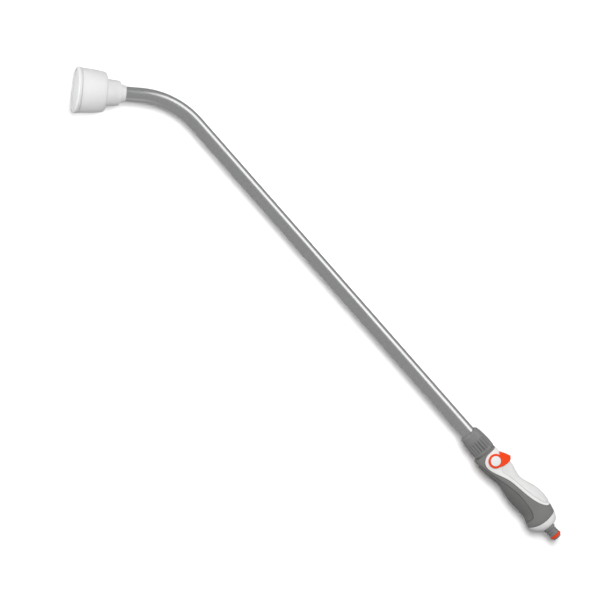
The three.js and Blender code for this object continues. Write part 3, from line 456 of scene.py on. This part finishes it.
def section(x):
    key = round(x, 3)
    if key not in section_store:
        along = key - HANDLE_BACK
        top, bottom, half, power = (smooth_value(HANDLE_OUTLINE, c, along) for c in (1, 2, 3, 4))
        top = min(top, lever_room(key)) - SKIN_MARGIN
        half -= SKIN_MARGIN
        section_store[key] = ((top + bottom) / 2, (top - bottom) / 2, half, power)
    return section_store[key]


def skin_point(x, angle, depth):
    """A point on the handle's surface, or under it: angle 0 is the top, and it grows sideways."""
    middle, rise, half, power = section(x)
    s, c = math.sin(angle), math.cos(angle)
    across = math.copysign(abs(s) ** (2 / power), s)
    up = math.copysign(abs(c) ** (2 / power), c)
    return (x, (half - depth) * across, middle + (rise - depth) * up)


def angle_at(x, lift):
    """The angle round the handle at which its surface has this lift."""
    middle, rise, _, power = section(x)
    share = max(-1.0, min(1.0, (lift - middle) / rise))
    return math.acos(math.copysign(abs(share) ** (power / 2), share))


# %% [markdown]
# ## Skin pieces with soft edges
# Each skin piece is a patch of the handle's surface between two seams. Its edges roll down into
# the seam over a fraction of a millimetre, which is what makes a seam read as a fine dark line.
# A tree of points along the seam gives the distance from it, and the roll follows from that.

# %% Seams and patches
def seam_tree(points, spacing=0.25):
    dense = []
    for (xa, aa), (xb, ab) in zip(points, points[1:]):
        start, end = Vector(skin_point(xa, aa, 0)), Vector(skin_point(xb, ab, 0))
        count = max(1, int((end - start).length / spacing))
        dense += [start.lerp(end, k / count) for k in range(count)]
    tree = KDTree(len(dense))
    for i, point in enumerate(dense):
        tree.insert(point, i)
    tree.balance()
    return tree


def roll(distance, radius):
    """How far an edge of this radius has dropped at a distance from it."""
    if distance >= radius:
        return 0.0
    return radius - math.sqrt(radius**2 - (radius - distance) ** 2)


def patch(rows, edge_radius, raised=0.0, wall=1.7):
    """A strip of surface from rows of (x, angle), rolled down at its border and given a wall."""
    columns = len(rows[0])
    border = [row[0] for row in rows] + rows[-1] + [row[-1] for row in reversed(rows)] + rows[0][::-1]
    tree = seam_tree(border)
    outer, inner = [], []
    for row in rows:
        for x, angle in row:
            distance = tree.find(Vector(skin_point(x, angle, 0)))[2]
            outer.append(to_frame(*skin_point(x, angle, roll(distance, edge_radius) - raised)))
            inner.append(to_frame(*skin_point(x, angle, wall)))
    count = len(rows)
    faces = []
    for i in range(count - 1):
        for j in range(columns - 1):
            a, b = i * columns + j, (i + 1) * columns + j
            faces.append((a, a + 1, b + 1, b))
            faces.append(tuple(len(outer) + v for v in (a, b, b + 1, a + 1)))
    loop = [j for j in range(columns)]
    loop += [i * columns + columns - 1 for i in range(1, count)]
    loop += [(count - 1) * columns + j for j in range(columns - 2, -1, -1)]
    loop += [i * columns for i in range(count - 2, 0, -1)]
    for a, b in zip(loop, loop[1:] + loop[:1]):
        faces.append((a, b, len(outer) + b, len(outer) + a))
    return outer + inner, faces


def crowded(count):
    """Shares from 0 to 1 that crowd together at both ends, where the edges roll."""
    return [(1 - math.cos(math.pi * i / count)) / 2 for i in range(count + 1)]


# %% [markdown]
# ## The grip, its pad and the white cover
# Three seams divide the handle's skin. The white cover's seam sweeps from the top at the back to
# below the lever at the front, the cover's inner panel follows it higher up, and the finger pad
# wraps round underneath. Each seam is a smooth curve of lift against distance behind the front.

# %% The three seams
COVER_SEAM = [
    (-113, 23.4), (-111.6, 19), (-109, 16.1), (-106, 14), (-100, 10.9), (-93, 8.4), (-84, 6.3), (-75, 4.8),
    (-64, 3.4), (-53, 1.6), (-46, -0.5), (-40, -3), (-33, -6.1), (-28, -8.2), (-22, -10.1), (-16.5, -10.8),
    (-12, -10.1), (-8.6, -8), (-6.3, -5.2), (-4.6, -2), (-3.5, 1.5),
]
PANEL_SEAM = [
    (-107.5, 23.6), (-107, 20.2), (-105, 17.6), (-100, 15.2), (-93.3, 13.3), (-86, 11.2), (-79, 9.8),
    (-70, 8.6),
    (-60, 7.4), (-51.6, 5.9), (-44, 3.9), (-38, 1.9), (-35.5, 1.6), (-33, 2.2), (-30.8, 3.9), (-29.6, 6.6),
    (-29.1, 10),
]
PAD_SEAM = [
    (-110.6, -13), (-110.0, -10), (-108, -7.9), (-105, -6.4), (-98, -4.6), (-90, -3.8), (-80, -3.3),
    (-72, -3.5), (-60, -5.1), (-50, -7.2), (-40, -9.8), (-29, -12.2), (-18, -14.3), (-10, -15.4),
]


def seam_lift(seam, x):
    return smooth_value(seam, 1, x - HANDLE_FRONT)


def over_rows(seam, count, across):
    """Rows over the handle's top, from one side's seam to the other's."""
    start, end = HANDLE_FRONT + seam[0][0], HANDLE_FRONT + seam[-1][0]
    rows = []
    for share in crowded(count):
        x = start + (end - start) * share
        reach = angle_at(x, seam_lift(seam, x))
        rows.append([(x, reach * math.sin(math.pi / 2 * (2 * j / across - 1))) for j in range(across + 1)])
    return rows


def under_rows(seam, count, across):
    """Rows round the handle's underside, from one side's seam to the other's."""
    start, end = HANDLE_FRONT + seam[0][0], HANDLE_FRONT + seam[-1][0]
    rows = []
    for share in crowded(count):
        x = start + (end - start) * share
        reach = math.pi - angle_at(x, seam_lift(seam, x))
        turns = [reach * math.sin(math.pi / 2 * (2 * j / across - 1)) for j in range(across + 1)]
        rows.append([(x, math.pi + turn_by) for turn_by in turns])
    return rows


cover_rows = over_rows(COVER_SEAM, 150, 90)
panel_rows = over_rows(PANEL_SEAM, 120, 70)
pad_rows = under_rows(PAD_SEAM, 110, 80)


def border_of(rows):
    return [row[0] for row in rows] + rows[-1] + [row[-1] for row in reversed(rows)] + rows[0][::-1]


# %% [markdown]
# ## Sinking the grip under what lies on it
# The grip's own mesh runs on under the cover and the pad, a little deeper, so that there is
# always material at the bottom of the seam. A signed distance from each seam drives the step.

# %% The grip, the pad, the cover and the panel
def smooth_step(low, high, value):
    t = max(0.0, min(1.0, (value - low) / (high - low)))
    return t * t * (3 - 2 * t)


def signed_distance(tree, inside, x, angle):
    distance = tree.find(Vector(skin_point(x, angle, 0)))[2]
    return -distance if inside else distance


def folded(angle):
    return abs((angle + math.pi) % (2 * math.pi) - math.pi)


def under_cover(x, angle, seam):
    along = x - HANDLE_FRONT
    if not seam[0][0] < along < seam[-1][0]:
        return False
    return folded(angle) < angle_at(x, seam_lift(seam, x))


def under_pad(x, angle):
    along = x - HANDLE_FRONT
    if not PAD_SEAM[0][0] < along < PAD_SEAM[-1][0]:
        return False
    return folded(angle) > angle_at(x, seam_lift(PAD_SEAM, x))


CAP_SEAM = [(-40, 43), (-21.5, 36.8), (-15, 34.0), (-7.6, 32.0), (4, 30.8), (21, 31.4), (40, 31.2)]


def cap_seam_x(angle):
    """Where the seam between the end cap and the grip lies, at an angle round the handle."""
    x = 32.0
    for _ in range(4):
        lift = skin_point(x, angle, 0)[2]
        x = smooth_value(CAP_SEAM, 1, lift)
    return x


SINK = 1.5
cover_tree, pad_tree = seam_tree(border_of(cover_rows)), seam_tree(border_of(pad_rows))


def grip_depth(x, angle, end_distance):
    depth = roll(end_distance, 0.6)
    from_cover = signed_distance(cover_tree, under_cover(x, angle, COVER_SEAM), x, angle)
    from_pad = signed_distance(pad_tree, under_pad(x, angle), x, angle)
    for distance, groove in ((from_cover, 0.6), (from_pad, 1.3)):
        depth = max(depth, SINK * (1 - smooth_step(groove - 0.7, groove, distance)))
    return depth


def grip_mesh(count=300, around=260):
    outer, inner = [], []
    front = HANDLE_FRONT
    first_shares = [crowded(12)[i] * 0.02 for i in range(7)]
    other_shares = [0.012 + 0.988 * i / count for i in range(count + 1)]
    for share in first_shares + other_shares:
        for j in range(around):
            angle = 2 * math.pi * j / around
            start = cap_seam_x(angle) + GAP
            x = start + (front - start) * share
            ends = min(x - start, front - x)
            outer.append(to_frame(*skin_point(x, angle, grip_depth(x, angle, ends))))
            inner.append(to_frame(*skin_point(x, angle, 2.0)))
    rows = len(outer) // around
    faces = ring_faces(rows, around, False)
    faces += [tuple(len(outer) + v for v in reversed(face)) for face in ring_faces(rows, around, False)]
    for j in range(around):
        across = (j + 1) % around
        faces.append((j, across, len(outer) + across, len(outer) + j))
        last = (rows - 1) * around
        faces.append((last + j, last + across, len(outer) + last + across, len(outer) + last + j))
    return outer + inner, faces


make_piece("soft_grip_fine", *grip_mesh(), soft_grey, ["soft_grip"])
make_piece("grip_pad_fine", *patch(pad_rows, 0.55), pad_grey, ["grip_pad"])
make_piece("top_panel_fine", *patch(panel_rows, 0.6), panel_white, ["top_panel"])

panel_tree = seam_tree(border_of(panel_rows))


def cover_mesh():
    vertices, faces = patch(cover_rows, 0.7)
    count = len(cover_rows[0])
    for i, row in enumerate(cover_rows):
        for j, (x, angle) in enumerate(row):
            distance = signed_distance(panel_tree, under_cover(x, angle, PANEL_SEAM), x, angle)
            sink = 1.3 * (1 - smooth_step(0.0, 0.65, distance))
            if sink > 0:
                vertices[i * count + j] = to_frame(*skin_point(x, angle, sink))
    return vertices, faces


make_piece("top_cover_fine", *cover_mesh(), white, ["top_cover"])

# %% [markdown]
# ## The end cap
# The white cap closes the handle round the plug. It is a dome whose front seam is curved, so its
# rows are spread between the back face and that seam.

# %% End cap
def cap_mesh(count=40, around=160):
    wall = 2.5
    hole = 6.9
    outer = []
    rows = crowded(count)
    for share in rows:
        for j in range(around):
            angle = 2 * math.pi * j / around
            end = cap_seam_x(angle)
            x = HANDLE_BACK + (end - HANDLE_BACK) * share
            depth = roll(end - x, 0.6) + roll(x - HANDLE_BACK, 1.4)
            outer.append(to_frame(*skin_point(x, angle, depth)))
    inside = []
    for share in reversed(rows):
        for j in range(around):
            angle = 2 * math.pi * j / around
            end = cap_seam_x(angle)
            start = HANDLE_BACK + wall
            inside.append(to_frame(*skin_point(start + (end - start) * share, angle, wall)))
    holes = []
    for x in (HANDLE_BACK + wall, HANDLE_BACK + 0.4, HANDLE_BACK):
        radius = hole + (0.4 if x == HANDLE_BACK else 0)
        for j in range(around):
            angle = 2 * math.pi * j / around
            holes.append(to_frame(x, radius * math.sin(angle), radius * math.cos(angle)))
    vertices = outer + inside + holes
    return vertices, ring_faces(len(vertices) // around, around, True)


make_piece("end_cap_fine", *cap_mesh(), white, ["end_cap"])

# %% [markdown]
# ## The fluted collar
# The collar nut clamps the tube, and its flutes give wet fingers a hold. It is a turned piece
# whose radius also dips in a smooth wave round it, fading out at both ends of the flutes.

# %% Collar
FLUTES = 20
FLUTE_DEPTH = 2.5
collar_outline = [
    (0.0, 15.2), (2.2, 15.6), (4.4, 15.75), (12.0, 15.85), (19.5, 15.4), (22.5, 15.1), (28.0, 14.4),
    (31.0, 13.9), (32.2, 13.6), (34.4, 11.4), (34.7, 11.1),
]


def flute(x, radius, angle):
    along = x - COLLAR_BACK
    if radius < 13.5:
        return 0.0
    fade = smooth_step(3.6, 5.0, along) * (1 - smooth_step(16.5, 23.5, along))
    wave = 0.5 + 0.5 * math.cos(FLUTES * angle)
    return FLUTE_DEPTH * fade * wave**1.5


outline_steps = 90
length = COLLAR_FRONT - COLLAR_BACK
outside = [(length * i / outline_steps) for i in range(outline_steps + 1)]
collar_profile = []
for along in outside:
    edges = roll(along, 0.35) + roll(length - along, 0.25)
    collar_profile.append((COLLAR_BACK + along, smooth_value(collar_outline, 1, along) - edges))
COLLAR_LIP, COLLAR_LIP_BORE, COLLAR_BORE = 5.4, 10.3, 12.9
collar_profile += [
    (COLLAR_FRONT, COLLAR_LIP_BORE), (COLLAR_FRONT - COLLAR_LIP, COLLAR_LIP_BORE),
    (COLLAR_FRONT - COLLAR_LIP, COLLAR_BORE), (COLLAR_BACK, COLLAR_BORE),
]
make_piece("collar_fine", *turn(collar_profile, 320, on_axis(TUBE_LIFT), flute), hard_grey, ["fluted_collar"])

# %% [markdown]
# ## The bent tube
# The tube is a turned piece too, turned straight and then laid along its centre line: a long
# straight, one bend and a short straight. Its length and turn are kept on the mesh for the metal.

# %% Tube
BEND_ANGLE = math.radians(43.2)
BEND_RADIUS = 114.0
BEND_CORNER = 803.0
FACE_FROM_CORNER = 135.5
BEND_START = BEND_CORNER - BEND_RADIUS * math.tan(BEND_ANGLE / 2)
BEND_LENGTH = BEND_RADIUS * BEND_ANGLE
TUBE_RADIUS = 10.0
TUBE_WALL = 1.1
TUBE_END_DEPTH = 51.7
tube_start = span("lance_tube", 0)[0]
after_bend = FACE_FROM_CORNER - BEND_RADIUS * math.tan(BEND_ANGLE / 2) - TUBE_END_DEPTH
tube_end = BEND_START + BEND_LENGTH + after_bend


def along_tube(length, side, up):
    turned = min(max(length - BEND_START, 0) / BEND_RADIUS, BEND_ANGLE)
    rest = max(length - BEND_START - BEND_LENGTH, 0)
    x = min(length, BEND_START) + BEND_RADIUS * math.sin(turned) + rest * math.cos(turned)
    lift = TUBE_LIFT - BEND_RADIUS * (1 - math.cos(turned)) - rest * math.sin(turned)
    return to_frame(x + up * math.sin(turned), side, lift + up * math.cos(turned))


bend_steps = 48
stations = [tube_start + (BEND_START - tube_start) * i / 24 for i in range(25)]
stations += [BEND_START + BEND_LENGTH * i / bend_steps for i in range(1, bend_steps + 1)]
stations += [tube_end - 4, tube_end]
tube_profile = [(s, TUBE_RADIUS) for s in stations]
tube_profile += [(s, TUBE_RADIUS - TUBE_WALL) for s in reversed(stations)]
TUBE_SIDES = 96
tube = make_piece("lance_tube_fine", *turn(tube_profile, TUBE_SIDES, along_tube), aluminium, ["lance_tube"])
lay = tube.data.attributes.new("lay", "FLOAT_VECTOR", "POINT")
for i, entry in enumerate(lay.data):
    angle = 2 * math.pi * (i % TUBE_SIDES) / TUBE_SIDES
    entry.vector = (tube_profile[i // TUBE_SIDES][0] * MM * 10, math.sin(angle), math.cos(angle))

# %% [markdown]
# ## The rose
# The rose spreads the water. Its cup, bezel, neck and nut are turned pieces on an axis that
# points along the end of the bent tube, drawn with the face at 0 and depth measured behind it.

# %% Rose pieces
face_x = BEND_CORNER + FACE_FROM_CORNER * math.cos(BEND_ANGLE)
face_lift = TUBE_LIFT - FACE_FROM_CORNER * math.sin(BEND_ANGLE)


def behind_face(depth, side, up):
    x = face_x - depth * math.cos(BEND_ANGLE) + up * math.sin(BEND_ANGLE)
    lift = face_lift + depth * math.sin(BEND_ANGLE) + up * math.cos(BEND_ANGLE)
    return to_frame(x, side, lift)


ROSE_SIDES = 128
shell_profile = rounded(
    [
        (5.7, 25.8, 0.2), (5.7, 30.8, 0.6), (20.0, 29.9, 6.0), (33.0, 28.3, 6.0), (41.7, 26.7, 7.0),
        (41.7, 12.3, 0.3), (39.3, 12.3, 0.2), (39.3, 24.4, 5.0), (32.0, 26.0, 3.0), (8.1, 28.2, 0.5),
        (8.1, 25.8, 0.2),
    ],
    steps=10,
)
make_piece("rose_shell_fine", *turn(shell_profile, ROSE_SIDES, behind_face), rose_white, ["rose_shell"])
bezel_profile = rounded(
    [
        (5.4, 27.9, 0.2), (1.2, 27.9, 0.9), (0.05, 28.5, 1.2), (0.05, 31.1, 1.9), (2.2, 31.7, 1.4),
        (5.4, 31.3, 0.7),
    ],
    steps=8,
)
make_piece("rose_bezel_fine", *turn(bezel_profile, ROSE_SIDES, behind_face), rose_white, ["rose_bezel"])
neck_profile = rounded(
    [
        (37.2, 8.4, 0.2), (37.2, 13.0, 0.3), (39.0, 13.8, 0.1), (39.0, 12.0, 0.1), (42.0, 12.0, 0.1),
        (42.0, 18.0, 0.4), (56.0, 17.5, 2.0), (61.0, 16.1, 0.8),
        (61.0, 10.3, 0.3), (51.4, 10.3, 0.2), (51.4, 8.4, 0.2),
    ],
    steps=8,
)
make_piece("rose_neck_fine", *turn(neck_profile, 96, behind_face), rose_white, ["rose_neck", "neck_o_ring"])
nut_profile = rounded(
    [
        (61.3, 11.7, 0.2), (61.3, 12.6, 0.4), (64.6, 12.3, 0.3), (65.2, 11.8, 0.3), (68.7, 11.2, 0.8),
        (68.7, 10.3, 0.2), (63.5, 10.3, 0.1), (63.5, 11.7, 0.1),
    ],
    steps=5,
)
make_piece("rose_nut_fine", *turn(nut_profile, 96, behind_face), rose_white, ["rose_nut"])

# %% [markdown]
# ## The spray plate
# The plate has ten rings of fine holes round one in the middle, six more in each ring than in the
# last. The holes are real: the plate's outline and every hole go into one constrained
# triangulation, the triangles inside the holes are left out, and the rest gets thickness.

# %% Spray plate
HOLE_PITCH = 2.66
HOLE_RADIUS = 0.48
HOLE_CORNERS = 12
PLATE_RADIUS = 27.5
RING_TURNS = [24.7, -7.1, 3.4, -6.7, -0.6, 3.6, -2.1, 1.0, -3.1, -0.5]


def plate_depth(radius, back):
    dome = 1.1 * (1 - (radius / PLATE_RADIUS) ** 2)
    return 1.8 - dome + (1.6 if back else 0.0)


def circle(centre, radius, corners):
    return [
        centre + Vector((math.cos(2 * math.pi * k / corners), math.sin(2 * math.pi * k / corners))) * radius
        for k in range(corners)
    ]


hole_centres = [Vector((0, 0))]
for number, turned in enumerate(RING_TURNS, start=1):
    for k in range(6 * number):
        angle = 2 * math.pi * k / (6 * number) + math.radians(turned)
        hole_centres.append(Vector((math.sin(angle), math.cos(angle))) * HOLE_PITCH * number)
RIM_CORNERS = 128
loops = [circle(Vector((0, 0)), PLATE_RADIUS, RIM_CORNERS)]
loops += [circle(centre, HOLE_RADIUS, HOLE_CORNERS) for centre in hole_centres]
flat, edges = [], []
for loop in loops:
    first = len(flat)
    flat += loop
    edges += [(first + k, first + (k + 1) % len(loop)) for k in range(len(loop))]
points, _, triangles, *_ = delaunay_2d_cdt(flat, edges, [], 1, 1e-6)
hole_tree = KDTree(len(hole_centres))
for i, centre in enumerate(hole_centres):
    hole_tree.insert((*centre, 0), i)
hole_tree.balance()
solid = []
for triangle in triangles:
    middle = sum((points[v] for v in triangle), Vector((0, 0))) / 3
    if hole_tree.find((*middle, 0))[2] > HOLE_RADIUS * 0.98:
        solid.append(tuple(triangle))
front = [behind_face(plate_depth(p.length, False), p.x, p.y) for p in points]
back = [behind_face(plate_depth(p.length, True), p.x, p.y) for p in points]
plate_faces = solid + [tuple(len(points) + v for v in reversed(face)) for face in solid]
plate_faces += [(a, b, len(points) + b, len(points) + a) for a, b in edges]
make_piece("spray_plate_fine", front + back, plate_faces, rose_white, ["spray_plate"])
print("spray holes:", len(hole_centres))

# %% [markdown]
# ## The thumb lever
# The lever is a yoke: a ring on each side of the handle and a thumb piece over the top. It is one
# moulding with soft inside corners, so its simple solids are laid together and remeshed finely
# into one skin, which rounds the places where they meet.

# %% Lever
RING_RADIUS = 10.0
RECESS_RADIUS = 7.3
RECESS_DEPTH = 1.8
LEVER_INSIDE = section(PIVOT_X)[2] + GAP


def about_pivot(angle, radius):
    turned = math.radians(angle)
    return (radius * math.sin(turned), radius * math.cos(turned))


# Small ribs across the slope that the thumb pushes, from the top down to the tip.
thumb_ribs = []
for rib in range(5):
    slope_x = -3.9 + rib * 2.1
    slope_lift = 18.2 - 0.115 * (rib + 1) ** 2 - rib * 0.55
    for forward, down in ((0.0, 0.0), (0.5, 1.0), (1.3, 1.3), (1.8, 0.8)):
        thumb_ribs.append((slope_x + forward, slope_lift - down))
ring_arc = [about_pivot(angle, RING_RADIUS) for angle in range(16, 250, 6)]
thumb_crest = [(-12.0, 16.6), (-10.4, 18.3), (-8.2, 20.0), (-7.4, 20.2), (-5.6, 18.9)]
thumb_line = [(-12.7, 6.0), (-13.1, 11.0), (-12.7, 15.0)] + thumb_crest
flank = ring_arc + thumb_line + thumb_ribs + [(7.3, 12.1), (3.4, 10.3)]
bridge = [(-10.3, 13.2), (-12.6, 14.9)] + thumb_crest + [(-4.8, 15.9), (-7.6, 14.8)]


def prism(outline, near, far, work, centre=(0, 0)):
    loops = []
    for side in (near, far):
        loops.append([work.verts.new((x + centre[0], side, lift + centre[1])) for x, lift in outline])
    work.faces.new(loops[0])
    work.faces.new(reversed(loops[1]))
    for k in range(len(outline)):
        after = (k + 1) % len(outline)
        work.faces.new((loops[0][k], loops[1][k], loops[1][after], loops[0][after]))
    bmesh.ops.recalc_face_normals(work, faces=work.faces)


def temporary(name, solids):
    work = bmesh.new()
    for outline, near, far in solids:
        prism(outline, near, far, work)
    mesh = bpy.data.meshes.new(name)
    work.to_mesh(mesh)
    work.free()
    thing = bpy.data.objects.new(name, mesh)
    bpy.context.scene.collection.objects.link(thing)
    return thing


def baked(thing):
    """The mesh that the modifiers make, with the object itself removed."""
    bpy.context.view_layer.update()
    evaluated = thing.evaluated_get(bpy.context.evaluated_depsgraph_get())
    mesh = bpy.data.meshes.new_from_object(evaluated)
    bpy.data.objects.remove(thing)
    return mesh


def lever_mesh():
    outer = LEVER_HALF - 0.1
    yoke = temporary("yoke", [
        (flank, -outer, -LEVER_INSIDE - 0.1),
        (flank, LEVER_INSIDE + 0.1, outer),
        (bridge, -outer + 0.3, outer - 0.3),
    ])
    melt = yoke.modifiers.new("melt", "REMESH")
    melt.mode = "VOXEL"
    melt.voxel_size = 0.3
    round_off = yoke.modifiers.new("round_off", "SMOOTH")
    round_off.factor = 0.5
    round_off.iterations = 12
    recess = [about_pivot(angle, RECESS_RADIUS) for angle in range(0, 360, 5)]
    floor_at, beyond = LEVER_HALF - RECESS_DEPTH, LEVER_HALF + 5
    cutter = temporary("recess", [(recess, floor_at, beyond), (recess, -beyond, -floor_at)])
    cut = yoke.modifiers.new("cut", "BOOLEAN")
    cut.object = cutter
    cut.operation = "DIFFERENCE"
    cut.solver = "EXACT"
    mesh = baked(yoke)
    bpy.data.objects.remove(cutter)
    vertices = [to_frame(PIVOT_X + v.co.x, v.co.y, PIVOT_LIFT + v.co.z) for v in mesh.vertices]
    return vertices, [tuple(face.vertices) for face in mesh.polygons]


make_piece("thumb_lever_fine", *lever_mesh(), orange, ["thumb_lever"], sharp=50)

# %% [markdown]
# ## The hub caps
# A white disc hides each lever screw. It is slightly crowned, with a soft edge, and sits in the
# lever's ring.

# %% Hub caps
HUB_RADIUS = 7.0
dome_steps = 8


def beside_pivot(sign):
    def place(out, along, up):
        return to_frame(PIVOT_X + along, sign * out, PIVOT_LIFT + up)

    return place


for side, sign in (("left", 1), ("right", -1)):
    crown = [
        (CAP_HALF - 0.05 - 0.35 * (k / dome_steps) ** 2, (HUB_RADIUS - 0.5) * k / dome_steps, 0.0)
        for k in range(dome_steps)
    ]
    skirt = [
        (CAP_HALF - 0.45, HUB_RADIUS, 0.35), (CAP_HALF - 0.9, HUB_RADIUS, 0.1), (CAP_HALF - 1.6, 5.8, 0.1),
        (CAP_HALF - 1.0, 5.7, 0.1), (CAP_HALF - 0.95, 0.0, 0.0),
    ]
    profile = rounded(crown + skirt, steps=4)
    disc = turn(profile, 72, beside_pivot(sign))
    make_piece(f"hub_disc_{side}", *disc, white, [f"hub_cap_{side}"])

# %% [markdown]
# ## Floor, light and camera
# The lance lies on a pale floor under soft light from the lever's side. The camera is far away
# with a long lens, so that the lance hardly tapers, and leans a little towards the rose.

# %% Floor
FLOOR_SIZE = 30.0
floor_mesh = bpy.data.meshes.new("floor")
FLOOR_CLEARANCE = 0.001
half = FLOOR_SIZE / 2
floor_z = cad_box[0][2] - FLOOR_CLEARANCE
floor_corners = [(x, y, floor_z) for x, y in ((-half, -half), (half, -half), (half, half), (-half, half))]
floor_mesh.from_pydata(floor_corners, [], [(0, 1, 2, 3)])
floor = bpy.data.objects.new("floor", floor_mesh)
bpy.context.scene.collection.objects.link(floor)
floor_finish = Finish("pale_floor", Base_Color=(0.96, 0.96, 0.96, 1), Roughness=0.9, Specular_IOR_Level=0.0)
floor_mesh.materials.append(floor_finish.material)
floor.visible_glossy = False
floor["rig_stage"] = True


# %% Lights
def area_light(name, place, towards, size, power, tone=(1, 1, 1)):
    data = bpy.data.lights.new(name, "AREA")
    data.shape = "RECTANGLE"
    data.size, data.size_y = size
    data.energy = power
    data.color = tone
    light = bpy.data.objects.new(name, data)
    light.location = place
    direction = Vector(towards) - Vector(place)
    light.rotation_euler = direction.to_track_quat("-Z", "Y").to_euler()
    bpy.context.scene.collection.objects.link(light)
    return light


# %% Camera
TILT = math.radians(11)
LEAN = math.radians(24)
ROSE_AT = math.radians(131.35)  # the way the straight tube points, seen from the camera
DISTANCE = 12.0
TARGET = Vector((0.4826, 0.0499, 0.0))
back_axis = Vector((math.sin(TILT) * math.cos(LEAN), math.sin(TILT) * math.sin(LEAN), math.cos(TILT)))
up_turn = math.pi / 2 - ROSE_AT
up_axis = Vector((math.cos(up_turn), math.sin(up_turn), 0))
up_axis = (up_axis - back_axis * up_axis.dot(back_axis)).normalized()
right_axis = up_axis.cross(back_axis)
camera_data = bpy.data.cameras.new("camera")
camera_data.lens = 532.4
camera_data.clip_end = 100
camera = bpy.data.objects.new("camera", camera_data)
camera_turn = Matrix((right_axis, up_axis, back_axis)).transposed().to_4x4()
camera.matrix_world = Matrix.Translation(TARGET + back_axis * DISTANCE) @ camera_turn
bpy.context.scene.collection.objects.link(camera)
bpy.context.scene.camera = camera

# %% [markdown]
# ## Sharing out the light
# A bright floor and a satin tube want different light. The key and the fill shape the plastics
# and the soft shadow, and reflections don't see them. The strip on the lever's side draws the
# long bright line on the tube. Two panels on the far side only show in reflections, so that the
# tube also looks like metal from there. The room's own glow is seen, and reflected, but lights
# nothing.

# %% Where the light comes from
SUN_SIDE = (right_axis + up_axis).normalized()


def off_axis(degrees, distance):
    turned = math.radians(degrees)
    return TARGET + (back_axis * math.cos(turned) + SUN_SIDE * math.sin(turned)) * distance


key = area_light("key", off_axis(12, 4.5), TARGET, (1.75, 1.75), 231)
fill = area_light("fill", off_axis(-12, 4.0), TARGET, (5.0, 5.0), 14)
key.visible_glossy = False
fill.visible_glossy = False
STRIP_WAY = Vector((-0.174, -0.85, 0.50))
STRIP_DISTANCE = 2.0
strip_target = Vector((0.50, 0.0, 0.0))
area_light("strip", strip_target + STRIP_WAY * STRIP_DISTANCE, strip_target, (3.2, 1.35), 13.5)
rose_place = Vector((face_x, 0.0, 0.0)) * MM + Vector((0.9, 0.85, 0.42))
rose_light = area_light("rose_side", rose_place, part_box("spray_plate")[0], (0.6, 0.6), 13.5)
rose_light.visible_glossy = False
for name, towards, power in (("far_panel_rose", 1, 3.0), ("far_panel_handle", -1, 0.45)):
    panel_place = strip_target + Vector((0.74 * towards, 0.62, 0.26)) * STRIP_DISTANCE
    panel = area_light(name, panel_place, strip_target, (0.9, 0.5), power)
    panel.visible_diffuse = False
    panel.visible_camera = False
world = bpy.data.worlds.new("studio")
world.use_nodes = True
world.cycles_visibility.diffuse = False
room = world.node_tree
seen = add_node(room, "ShaderNodeLightPath", output="Is Camera Ray")
strength = 0.3 + seen * 0.6
room.nodes["Background"].inputs["Color"].default_value = (1, 1, 1, 1)
room.links.new(strength.socket, room.nodes["Background"].inputs["Strength"])
bpy.context.scene.world = world
bpy.context.scene.view_settings.view_transform = "Standard"

# %% [markdown]
# ## Measuring and finishing
# The fine pieces must stay within the design's own box, so both boxes are written down.

# %% Finish
now_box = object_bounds()
boxes = {"cad": cad_box, "visual": now_box}
{name: [list(corner) for corner in box] for name, box in boxes.items()}
print("box in the design:", [[round(v, 4) for v in corner] for corner in cad_box])
print("box as drawn:", [[round(v, 4) for v in corner] for corner in now_box])
